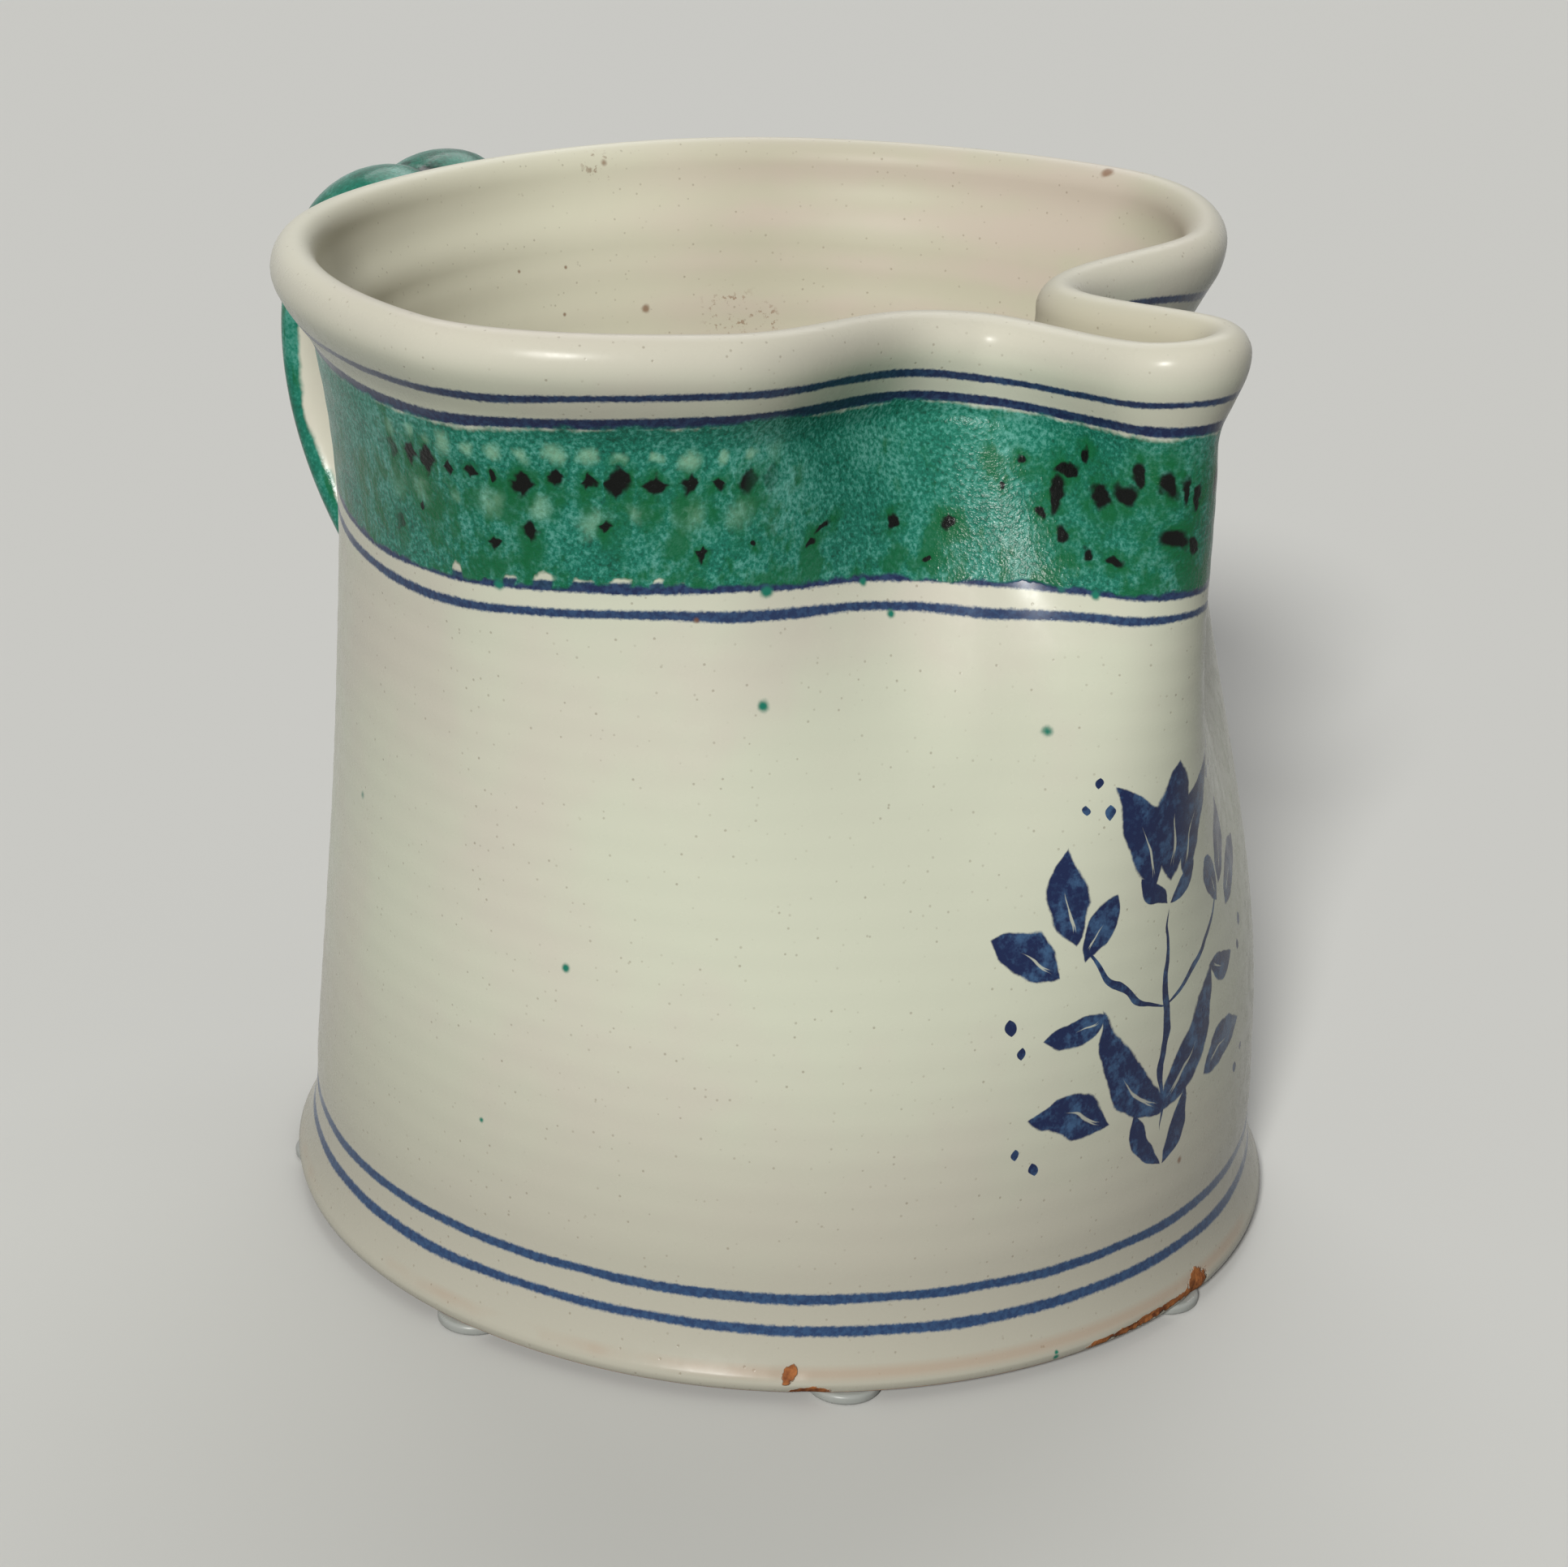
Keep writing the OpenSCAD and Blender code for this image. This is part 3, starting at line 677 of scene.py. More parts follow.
class PITCHER_OT_stage(bpy.types.Operator):
    """Lay the pale floor, hang the lights and set the camera"""
    bl_idname = "pitcher.stage"
    bl_label = "Stage"

    floor_w = 8.0
    # The camera: where it stands, its turn, tilt and roll, and its lens and width of picture in pixels
    camera_place = (374.8 * MM, -422.1 * MM, 301.0 * MM)
    camera_turn = radians(41.86)
    camera_tilt = radians(68.4)
    camera_roll = radians(2.62)
    lens_px = 3900
    photo_px = 1932
    sensor_mm = 36
    aim = Vector((0, 0, 0.1))
    near_clip = 10 * MM
    # Two far lamps, one near the camera's side and one behind for the unseen side: turn from the spout,
    # height angle, how wide it looks, strength and colour
    lamps = {
        "key_lamp": (radians(-62), radians(30), radians(10), 3.05, "#FFFEFA"),
        "fill_lamp": (radians(131), radians(48), radians(45), 1.1, "#FFFFFF"),
    }
    # The sky: how strongly it lights from overhead, how fast that falls off lower down, and how pale it looks
    sky_light = 0.3
    sky_fall = 2.0
    sky_seen = 0.6

    def execute(self, context):
        context.scene.view_settings.view_transform = "Standard"
        self.lay_floor(context.scene.pitcher_colours)
        for name, lamp in self.lamps.items():
            self.hang_lamp(name, *lamp)
        self.light_sky(context)
        self.set_camera(context)
        return {"FINISHED"}

    def lay_floor(self, colours):
        bpy.ops.object.select_all(action="DESELECT")
        bpy.ops.mesh.primitive_plane_add(size=self.floor_w)
        floor = bpy.context.object
        floor.name = floor.data.name = "pale_floor"
        floor.data.materials.append(matt_board(colours))

    def hang_lamp(self, name, bearing, rise, width, strength, colour):
        """A far lamp, so that the floor is lit evenly."""
        bpy.ops.object.light_add(type="SUN", location=self.aim)
        lamp = bpy.context.object
        lamp.name = lamp.data.name = name
        from_aim = Vector((cos(bearing) * cos(rise), sin(bearing) * cos(rise), sin(rise)))
        lamp.rotation_euler = from_aim.to_track_quat("Z", "Y").to_euler()
        lamp.data.angle, lamp.data.energy, lamp.data.color = width, strength, linear(colour)[:3]

    def light_sky(self, context):
        """A plain sky: soft light from overhead on the jug, and evenly pale where it is seen or mirrored."""
        world = bpy.data.worlds.new("pale_sky")
        context.scene.world = world
        world.use_nodes = True
        world.node_tree.nodes.clear()
        node = partial(add, world.node_tree)
        up = node("SeparateXYZ", node("TexCoord", out="Generated"), out="Z")
        light = node("Math POWER", node("Math MAXIMUM", up, 0.0), self.sky_fall)
        light = node("Math MULTIPLY", light, self.sky_light)
        strength = node("MapRange", seen_or_mirrored(node), 0.0, 1.0, light, self.sky_seen)
        node("OutputWorld", node("Background", (1.0, 1.0, 1.0, 1.0), strength), out=None)

    def set_camera(self, context):
        bpy.ops.object.camera_add(location=self.camera_place)
        camera = bpy.context.object
        camera.name = camera.data.name = "photo_camera"
        turned = Matrix.Rotation(self.camera_turn, 3, "Z")
        turned @= Matrix.Rotation(self.camera_tilt, 3, "X")
        turned @= Matrix.Rotation(self.camera_roll, 3, "Z")
        camera.rotation_euler = turned.to_euler()
        camera.data.sensor_fit = "HORIZONTAL"
        camera.data.sensor_width = self.sensor_mm
        camera.data.lens = self.lens_px / self.photo_px * self.sensor_mm
        camera.data.clip_start = self.near_clip
        context.scene.camera = camera


# The setting that the second word of a node's kind chooses
CHOICE = {
    "Math": "operation",
    "VectorMath": "operation",
    "MapRange": "interpolation_type",
    "Mix": "data_type",
}


def add(tree, kind, *inputs, out=0, named=None, **settings):
    """Adds a node of this kind, such as "TexNoise" or "Math MULTIPLY". Inputs follow the order of its
    sockets: a link's source, a value, or None to leave one as it is."""
    kind, *choice = kind.split()
    node = tree.nodes.new("ShaderNode" + kind)
    for name, value in [*((CHOICE[kind], word) for word in choice), *settings.items()]:
        setattr(node, name, value)
    sockets = [socket for socket in node.inputs if socket.enabled]
    by_name = [(node.inputs[name], source) for name, source in (named or {}).items()]
    for socket, source in [*zip(sockets, inputs), *by_name]:
        if isinstance(source, bpy.types.NodeSocket):
            tree.links.new(source, socket)
        elif source is not None:
            socket.default_value = source
    if out is None:
        return node.outputs
    return node.outputs[out] if isinstance(out, str) else [s for s in node.outputs if s.enabled][out]


def every(millimetres):
    """Scale of a pattern in metres whose features come at this spacing."""
    return 1 / (millimetres * MM)


def new_material(name):
    """An empty material and the function that adds nodes to it."""
    material = bpy.data.materials.new(name)
    material.use_nodes = True
    material.node_tree.nodes.clear()
    return material, partial(add, material.node_tree)


def seen_or_mirrored(node):
    """1 for rays that see a surface or its mirror image, 0 for those that carry light."""
    rays = node("LightPath", out=None)
    seen = node("Math MAXIMUM", rays["Is Camera Ray"], rays["Is Glossy Ray"])
    return node("Math MAXIMUM", seen, rays["Is Transmission Ray"])


# Detail and roughness of the different kinds of unevenness
SOFT = (2.0, 0.5)
BLED = (1.5, 0.5)
FINE = (2.0, 0.6)
HAZY = (3.0, 0.55)
RAGGED = (3.0, 0.6)
TREMBLING = (3.0, 0.62)
SPATTERED = (3.0, 0.7)
CLOUDY = (4.0, 0.6)
STREAKY = (4.0, 0.65)
PATCHY = (4.0, 0.7)

# The middle of an uneven colour, about which it pulls to all sides
MIDDLE = (0.5, 0.5, 0.5)

# A fired glaze: its index of refraction, and how strongly its skin mirrors
FIRED = {"IOR": 1.45, "Specular IOR Level": 0.2}

# Painted lines round the jug: height and width in millimetres, how far each follows the wave of the hand,
# and how thick the cobalt is
PAINTED_LINES = (
    (172.4, 1.4, 0.8, 0.7), (166.9, 2.2, 1.0, 0.85), (138.6, 1.8, 1.0, 0.75), (134.0, 1.5, 1.0, 0.58),
    (18.4, 1.8, 0.1, 0.4), (12.4, 1.75, 0.1, 0.42),
)
# A line wavers up and down and swells by this much, and its edge is gritty and bleeds by this much
LINE_WAVER = 1.8 * MM
LINE_SWELL = 0.9 * MM
LINE_GRIT = 0.7 * MM
LINE_BLEED = 0.3 * MM
# Keeps the wavering of one line apart from the next
LINE_SEED = 3.7

# How much of the glaze under it the paint of a line and of a stroke hides
LINE_COVER = 0.98
STROKE_COVER = 0.985

# The wave in which the lines and the band go up and down: its height, how often it comes round the jug, the
# turn of its top, and the turns from the spout between which it grows
HAND_WAVE = 2.0 * MM
HAND_WAVES = 4.0
HAND_WAVE_TOP = radians(-57)
HAND_WAVE_GROWS = (radians(12), radians(40))
# Beyond the spout the hand rises more: by how much, at which turn, and over how wide a turn
HAND_WAVE_FAR = 2.2
HAND_WAVE_FAR_TURN = radians(42)
HAND_WAVE_FAR_SPAN = (radians(12), radians(38))

# The copper band: the heights over which its lower edge comes in and its upper edge goes out, and how far
# both sway and tremble
BAND_LOW = (141.2 * MM, 142.0 * MM)
BAND_HIGH = (162.4 * MM, 163.8 * MM)
BAND_SWAY = 3.2 * MM
BAND_TREMBLE = 2.4 * MM

# Rows of dabbed spots in the copper band: number round the jug, height, half width, jitter along and up, in
# millimetres. With each row goes the seed of its jitter, and how strong a pale row is or how far a dark one
# runs down
PALE_ROWS = (
    ((110, 161.2, 1.9, 1.2, 1.2), 11.5, 0.52),
    ((66, 151.2, 2.6, 3.0, 2.6), 47.5, 0.38),
)
DARK_ROWS = (
    ((110, 157.0, 2.2, 1.0, 1.4), 5.5, 0.8),
    ((44, 146.8, 1.9, 6.0, 6.5), 29.5, 0.7),
)
SCALLOP_ROW = (90, 138.9, 1.9, 1.6, 0.8)
SCALLOP_SEED = 83.5
# Size of the smallest and the largest dab of a row, as a share of its half width
DAB_SIZES = (0.45, 1.25)
# How far the emerald round a dark dab runs down the wall: the lower, the farther
HALO_TAIL = 0.3
# How far the wet glaze pulled the dabs about, and how much of the hand's wave the rows and scallops follow
DAB_PULL = 3.6 * MM
ROWS_FOLLOW = 0.4
SCALLOPS_FOLLOW = 0.6

# Dabs come in this many groups round the jug, one of them centred on this turn, and keep off the spout
DAB_GROUPS = 5
DAB_TURN = radians(-78)
OFF_SPOUT = (50 * MM, 56 * MM)

# Dark dabs on the spout, and smaller ones to its right: across and height, half width and half height, and
# lean in degrees, all lengths in millimetres
SPOUT_DABS = (
    (-27.5, 153.0, 1.3, 3.6, -14), (-25.5, 157.4, 2.6, 1.1, 12), (-26.8, 147.0, 1.6, 1.3, 0),
    (-19.4, 154.2, 2.0, 2.3, 20), (-14.6, 155.4, 2.8, 1.8, 14), (-12.2, 158.8, 1.3, 2.4, -8),
    (-7.2, 157.8, 1.9, 2.6, 18), (-4.0, 156.6, 0.9, 2.6, -6), (-1.4, 155.0, 0.9, 2.8, -10),
    (-5.2, 148.6, 3.4, 1.9, -16), (-1.8, 147.0, 1.0, 1.8, 0), (-16.5, 144.0, 2.2, 0.9, -6),
    (-22.0, 144.6, 1.4, 1.1, 24), (4.6, 157.2, 1.6, 2.4, -20), (9.5, 150.2, 2.6, 1.4, 15),
    (15.2, 155.8, 1.8, 1.6, 0), (21.5, 146.0, 1.6, 1.2, 0), (-21.8, 160.0, 0.9, 1.4, 10),
    (-30.5, 149.5, 0.9, 1.2, 20), (-49.0, 146.9, 1.1, 1.2, 25), (-59.0, 147.2, 1.3, 0.9, 20),
    (-73.5, 148.2, 1.9, 0.6, 25), (-75.8, 146.0, 1.1, 0.7, 30), (-87.0, 146.6, 0.6, 0.6, 0),
    (-52.5, 141.6, 0.6, 0.6, 0), (-33.5, 157.5, 0.8, 0.8, 0), (-37.5, 153.5, 0.7, 0.6, 0),
)

# Strokes of the painted sprig, mirrored about its middle: across, height, lean in degrees, half length, half
# width, bow, and whether a pale rib is scratched into it
SPRIG_STROKES = (
    (0.0, 60.0, 0, 27.0, 0.9, 0.6, False),
    (0.0, 97.0, 0, 11.5, 5.2, 0.0, True),
    (6.8, 96.0, -24, 11.5, 4.0, -0.7, True),
    (4.6, 84.6, -48, 4.8, 1.9, 0.5, False),
    (11.5, 68.2, -52, 14.0, 0.8, 3.2, False),
    (25.0, 86.5, -8, 8.2, 4.4, 0.3, True),
    (32.6, 78.4, -62, 8.0, 4.2, -0.3, True),
    (17.4, 80.8, 34, 6.4, 3.2, 0.2, True),
    (10.0, 50.8, -40, 14.5, 4.6, 0.9, True),
    (22.6, 47.8, -74, 9.0, 3.8, -0.5, True),
    (22.0, 62.6, -96, 6.6, 2.8, 0.3, True),
    (5.4, 37.5, -30, 7.5, 2.4, 0.6, False),
    (15.4, 101.0, 0, 1.3, 1.2, 0.0, False),
    (17.8, 106.2, 0, 1.1, 1.0, 0.0, False),
    (20.8, 101.6, 0, 1.0, 1.0, 0.0, False),
    (36.2, 66.0, 0, 1.3, 1.2, 0.0, False),
    (33.4, 61.6, 0, 1.0, 1.0, 0.0, False),
    (30.2, 38.6, 0, 1.2, 1.1, 0.0, False),
    (34.0, 42.4, 0, 1.0, 1.0, 0.0, False),
)
# How far the strokes bled, and where along its stroke a rib starts and how narrow it is
SPRIG_BLEED = 4.0 * MM
RIB_START = 0.35
RIB_NARROW = 5.0

# Green specks flicked onto the glaze: place and radius in millimetres
GREEN_SPECKS = (
    (46.1, -61.3, 121.3, 1.0), (73.9, -20.8, 114.9, 1.1), (24.8, -84.5, 73.7, 0.8), (9.8, -90.0, 40.9, 0.5),
    (51.7, -36.9, 133.4, 0.8), (91.3, -26.8, 4.0, 0.4), (91.3, -26.8, 2.9, 0.6), (8.3, -85.4, 137.8, 1.0),
    (43.2, -58.3, 139.6, 1.1), (48.5, -40.4, 139.0, 0.8), (70.6, -15.0, 137.9, 0.8),
    (76.3, -13.2, 137.9, 0.8), (-30.0, -82.0, 88.0, 0.9), (20.0, 85.0, 95.0, 1.0), (-60.0, 64.0, 60.0, 0.8),
)

# Iron spots: place and radius in millimetres
IRON_SPOTS = (
    (90.9, 6.7, 29.8, 0.7), (37.1, -68.4, 135.3, 0.5), (-85.3, 28.4, 180.2, 0.8), (-86.1, 25.3, 179.0, 0.5),
    (-5.9, 91.6, 184.0, 1.3), (-76.1, 31.9, 151.2, 0.9), (-84.1, 4.1, 161.2, 0.4), (-82.7, 15.5, 160.8, 0.4),
    (-81.4, 14.0, 151.6, 0.4),
)

# Patches of fine iron speckle inside the jug: place and radius in millimetres
IRON_SPECKLE = ((-67.1, 47.8, 150.0, 5.5), (-62.5, 52.5, 147.5, 4.5), (-86.0, 27.0, 179.5, 3.5))

# Height at which the glaze wore thin along the foot's edge
WORN_EDGE = 5.6 * MM


def glazed_ground(node):
    """What every layer of the body's glaze reads: place, side, and the unevenness of hand and fire."""
    place = node("TexCoord", out="Object")
    canvas = node("SeparateXYZ", node("UVMap", uv_map=GLAZE_MAP), out=None)
    inside = node("Attribute", attribute_name=INSIDE, out="Fac")
    return SimpleNamespace(
        place=place,
        along=canvas["X"],
        level=canvas["Y"],
        inside=inside,
        outside=node("Math SUBTRACT", 1.0, inside),
        bare=node("Attribute", attribute_name=BARE, out="Fac"),
        wave=hand_wave(node, canvas["X"]),
        ragged=node("TexNoise", place, every(2.2), *RAGGED),
        tremble=node("TexNoise", place, every(3.4), *TREMBLING),
        clouds=node("TexNoise", place, every(60), *CLOUDY),
    )


def hand_wave(node, along):
    """How far the painter's hand is above or below the level at each turn."""
    a = node("Math MULTIPLY", along, 1 / MAP_R)
    wave = node("Math MULTIPLY", node("Math ADD", a, -HAND_WAVE_TOP), HAND_WAVES)
    wave = node("Math MULTIPLY", node("Math COSINE", wave), HAND_WAVE)
    grows = node("MapRange", node("Math ABSOLUTE", a), *HAND_WAVE_GROWS, 0.0, 1.0)
    far = node("Math ABSOLUTE", node("Math SUBTRACT", a, HAND_WAVE_FAR_TURN))
    far = node("MapRange", far, *HAND_WAVE_FAR_SPAN, HAND_WAVE_FAR, 1.0)
    return node("Math MULTIPLY", node("Math MULTIPLY", wave, grows), far)


def bare_glaze(node, at, colours):
    """The glaze before it is painted: cream, darkened low down by painted shade, and in places warmed by the
    clay.
    """
    warm = node("MapRange SMOOTHSTEP", at.clouds, 0.42, 0.68, 0.0, 0.6)
    foot_warm = node("MapRange SMOOTHSTEP", at.level, 8 * MM, 24 * MM, 0.85, 0.0)
    lip_warm = node("MapRange SMOOTHSTEP", at.level, 173 * MM, 181 * MM, 0.0, 0.5)
    warm = node("Math MAXIMUM", node("Math MAXIMUM", warm, foot_warm), lip_warm)
    colour = node("Mix RGBA", warm, colours.cream, colours.blush)
    # Painted shade: the cream darkens towards the bottom of the jug, as the light falls off there
    low_shade = node("MapRange SMOOTHSTEP", at.level, 0.0, 75 * MM, 1.0, 0.0)
    colour = node("Mix RGBA", low_shade, colour, colours.low_shade_glaze)
    return node("Mix RGBA", at.inside, colour, ringed_lining(node, at, colours))


def ringed_lining(node, at, colours):
    """Glaze inside the jug: warm along the throwing rings, less so in the spout, and made paler towards the
    back as painted bounce light.
    """
    coil = node("Math MULTIPLY", at.level, every(RING_PITCH))
    coil = node("Math MULTIPLY_ADD", at.along, 1 / (tau * MAP_R), coil)
    rings = node("Math SINE", node("Math MULTIPLY", coil, tau))
    rings = node("Math MULTIPLY_ADD", rings, 0.05, at.clouds)
    rings = node("MapRange SMOOTHSTEP", rings, 0.38, 0.62, 0.0, 1.0)
    to_spout = node("SeparateXYZ", at.place, out="X")
    rings = node("Math MULTIPLY", rings, node("MapRange", to_spout, 20 * MM, 50 * MM, 1.0, 0.2))
    lining = node("Mix RGBA", rings, colours.lining, colours.lining_warm)
    # Painted light: the lining is made paler towards the back of the inside, standing in for the light
    # bounced inside the jug
    to_back = node("VectorMath DOT_PRODUCT", at.place, (-0.94, -0.34, 0.0), out="Value")
    thick = node("MapRange SMOOTHSTEP", to_back, 40 * MM, 80 * MM, 0.0, 0.95)
    return node("Mix RGBA", thick, lining, colours.lining_bounce_lit)


def pinholes(node, at):
    """Where the glaze has pinholes, drawn a little coarser than real ones so that they show."""
    cells = node("TexVoronoi", at.place, every(1.7), out=None)
    hole = node("MapRange SMOOTHSTEP", cells["Distance"], 0.08, 0.18, 1.0, 0.0)
    some = node("MapRange", node("SeparateColor", cells["Color"], out="Red"), 0.3, 1.0, 0.0, 1.0)
    return node("Math MULTIPLY", hole, some)


def painted_lines(node, at):
    """Cobalt lines drawn with a loaded brush on the turning wheel: they waver, and their edges bleed a
    little. Gives the cover of the lines and the thickness of their paint."""
    grit = node("TexNoise", at.place, every(0.8), *FINE)
    covers, paints = [], []
    for i, (height, width, follow, load) in enumerate(PAINTED_LINES):
        waver = node("TexNoise", at.place, LINE_SEED * i, every(34), *SOFT, noise_dimensions="4D")
        line = node("Math MULTIPLY_ADD", at.wave, -follow, at.level)
        line = node("Math MULTIPLY_ADD", waver, LINE_WAVER, line)
        line = node("Math ABSOLUTE", node("Math SUBTRACT", line, height * MM + LINE_WAVER / 2))
        line = node("Math MULTIPLY_ADD", waver, -LINE_SWELL, line)
        line = node("Math MULTIPLY_ADD", grit, LINE_GRIT, line)
        edge = width / 2 * MM
        line = node("MapRange SMOOTHSTEP", line, edge - LINE_BLEED, edge + LINE_BLEED, 1.0, 0.0)
        covers.append(line)
        paints.append(node("Math MULTIPLY", line, load))
    strongest = partial(node, "Math MAXIMUM")
    return reduce(strongest, covers), reduce(strongest, paints)


def painted_sprig(node, at):
    """A tulip with leaves in brushed strokes. Gives how far each place is from the middle of the nearest
    stroke, and from the nearest scratched rib."""
    bleed = node("TexNoise", at.place, every(9), *BLED, out="Color")
    bleed = node("VectorMath SUBTRACT", bleed, MIDDLE)
    flat = node("CombineXYZ", at.along, at.level)
    warped = node("VectorMath MULTIPLY_ADD", bleed, (SPRIG_BLEED, SPRIG_BLEED, 0.0), flat)
    warped = node("SeparateXYZ", warped, out=None)
    canvas = node("CombineXYZ", node("Math ABSOLUTE", warped["X"]), warped["Y"])
    spans, ribs = [], []
    for across, height, lean, half_l, half_w, bow, ribbed in SPRIG_STROKES:
        middle = (across * MM, height * MM, 0)
        halves = (half_w * MM, half_l * MM, 1)
        stroke = node("Mapping", canvas, middle, (0, 0, radians(lean)), halves, vector_type="TEXTURE")
        stroke = node("SeparateXYZ", stroke, out=None)
        along_sq = node("Math MULTIPLY", stroke["Y"], stroke["Y"])
        bowed = node("Math ABSOLUTE", node("Math MULTIPLY_ADD", along_sq, bow, stroke["X"]))
        spans.append(node("Math ADD", bowed, along_sq))
        if ribbed:
            start = node("Math ADD", stroke["Y"], RIB_START)
            rib = node("Math ABSOLUTE", node("Math MULTIPLY_ADD", bowed, RIB_NARROW, start))
            ribs.append(node("Math ADD", rib, along_sq))
    nearest = partial(node, "Math MINIMUM")
    return reduce(nearest, spans), reduce(nearest, ribs)


def cobalt_paint(node, at, colours, colour):
    """Paints the lines and the sprig over this colour, thick and thin as the brush left them."""
    fleck = node("TexNoise", at.place, every(1.0), *FINE)
    fleck = node("MapRange", fleck, 0.4, 0.62, 0.22, -0.14)
    cover, paint = painted_lines(node, at)
    cover = node("Math MULTIPLY", cover, at.outside)
    paint = node("Math ADD", paint, fleck, use_clamp=True)
    blue_line = node("Mix RGBA", paint, colours.cobalt_wash, colours.cobalt)
    colour = node("Mix RGBA", node("Math MULTIPLY", cover, LINE_COVER), colour, blue_line)
    sprig, rib = painted_sprig(node, at)
    stroke = node("Math MULTIPLY_ADD", at.ragged, 0.25, sprig)
    stroke = node("MapRange SMOOTHSTEP", stroke, 1.06, 1.2, 1.0, 0.0)
    scratch = node("Math MULTIPLY_ADD", at.ragged, 0.4, rib)
    scratch = node("MapRange SMOOTHSTEP", scratch, 0.5, 0.75, 0.25, 1.0)
    stroke = node("Math MULTIPLY", node("Math MULTIPLY", stroke, scratch), at.outside)
    load = node("TexNoise", at.place, every(6), *PATCHY)
    load = node("MapRange SMOOTHSTEP", load, 0.34, 0.56, 0.0, 1.0)
    load = node("Math ADD", load, fleck, use_clamp=True)
    blue_stroke = node("Mix RGBA", load, colours.cobalt_wash, colours.cobalt)
    return node("Mix RGBA", node("Math MULTIPLY", stroke, STROKE_COVER), colour, blue_stroke)


def copper_mottle(node, place, streaks, colours, sugary):
    """Copper glaze: sugary, with pale grains in a deep ground, and clear emerald where it pools or runs.
    Gives the colour and the grain."""
    pools = node("TexNoise", place, every(16), *RAGGED)
    grain = node("TexNoise", place, every(0.75), *FINE)
    sugar = node("Math MULTIPLY_ADD", grain, sugary, node("Math MULTIPLY", pools, 0.7))
    middle, reach = 0.35 + sugary / 2, 0.12 + 0.17 * sugary
    sugar = node("MapRange", sugar, middle - reach, middle + reach, 0.0, 1.0)
    ground = node("MapRange", sugar, 0.0, 0.5, 0.0, 1.0)
    colour = node("Mix RGBA", ground, colours.copper_deep, colours.copper)
    pale = node("MapRange", sugar, 0.45, 1.0, 0.0, 0.9)
    colour = node("Mix RGBA", pale, colour, colours.copper_pale)
    runs = node("Math ADD", streaks, node("Math MULTIPLY", pools, 0.8))
    runs = node("MapRange SMOOTHSTEP", runs, 0.93, 1.1, 0.0, 0.85)
    return node("Mix RGBA", runs, colour, colours.emerald), grain


def spot_row(node, canvas, row, seed, tail=1.0, cornered=False):
    """A row of uneven dabs, round or cornered. Gives how far each place is from the middle of its dab, in
    half widths; a tail below 1 lets the dab run down the wall."""
    along, level = canvas
    count, height, half_w, jitter_along, jitter_up = row
    pitch = tau * MAP_R / count
    cells = node("Math MULTIPLY", along, 1 / pitch)
    cell = node("Math FLOOR", cells)
    chance = node("TexWhiteNoise", node("Math ADD", cell, seed), out="Color", noise_dimensions="1D")
    chance = node("SeparateColor", chance, out=None)
    across = node("Math SUBTRACT", node("Math SUBTRACT", cells, cell), 0.5)
    across = node("Math MULTIPLY", across, pitch)
    shift = node("Math SUBTRACT", chance["Red"], 0.5)
    across = node("Math MULTIPLY_ADD", shift, -jitter_along * MM, across)
    drop = node("Math SUBTRACT", chance["Green"], 0.5)
    up = node("Math SUBTRACT", level, height * MM)
    up = node("Math MULTIPLY_ADD", drop, -jitter_up * MM, up)
    up = node("Math MULTIPLY_ADD", node("Math MINIMUM", up, 0.0), tail - 1, up)
    if cornered:
        away = node("Math ADD", node("Math ABSOLUTE", across), node("Math ABSOLUTE", up))
    else:
        away = node("VectorMath LENGTH", node("CombineXYZ", across, up), out="Value")
    sizes = [share * half_w * MM for share in DAB_SIZES]
    return node("Math DIVIDE", away, node("MapRange", chance["Blue"], 0.0, 1.0, *sizes))


def spout_dabs(node, canvas):
    """The dark dabs on the spout and beside it: how far each place is from the nearest, in half sizes."""
    flat = node("CombineXYZ", *canvas)
    dabs = []
    for across, height, half_w, half_h, lean in SPOUT_DABS:
        middle = (across * MM, height * MM, 0)
        halves = (half_w * MM, half_h * MM, 1)
        dab = node("Mapping", flat, middle, (0, 0, radians(lean)), halves, vector_type="TEXTURE")
        dabs.append(node("VectorMath LENGTH", dab, out="Value"))
    return reduce(partial(node, "Math MINIMUM"), dabs)


def band_cover(node, at):
    """Where the copper band lies; both its edges follow the hand and are ragged."""
    swayed = node("Math SUBTRACT", at.level, at.wave)
    sway = node("Math MULTIPLY", node("TexNoise", at.place, every(15), *SOFT), BAND_SWAY)
    edge = node("Math ADD", sway, node("Math MULTIPLY", at.tremble, BAND_TREMBLE))
    low_edge = node("MapRange SMOOTHSTEP", node("Math ADD", swayed, edge), *BAND_LOW, 0.0, 1.0)
    high_edge = node("MapRange SMOOTHSTEP", node("Math SUBTRACT", swayed, edge), *BAND_HIGH, 1.0, 0.0)
    return node("Math MULTIPLY", low_edge, high_edge)


def dab_groups(node, at):
    """Where the rows of dabs are set, and the narrower places where the band's lower edge is scalloped."""
    groups = node("Math ADD", node("Math MULTIPLY", at.along, 1 / MAP_R), -DAB_TURN)
    groups = node("Math COSINE", node("Math MULTIPLY", groups, DAB_GROUPS))
    off_spout = node("MapRange", node("Math ABSOLUTE", at.along), *OFF_SPOUT, 0.0, 1.0)
    dabbed = node("Math MULTIPLY", node("MapRange", groups, -0.6, -0.2, 0.0, 1.0), off_spout)
    scalloped = node("Math MULTIPLY", node("MapRange", groups, 0.3, 0.5, 0.0, 1.0), off_spout)
    return dabbed, scalloped


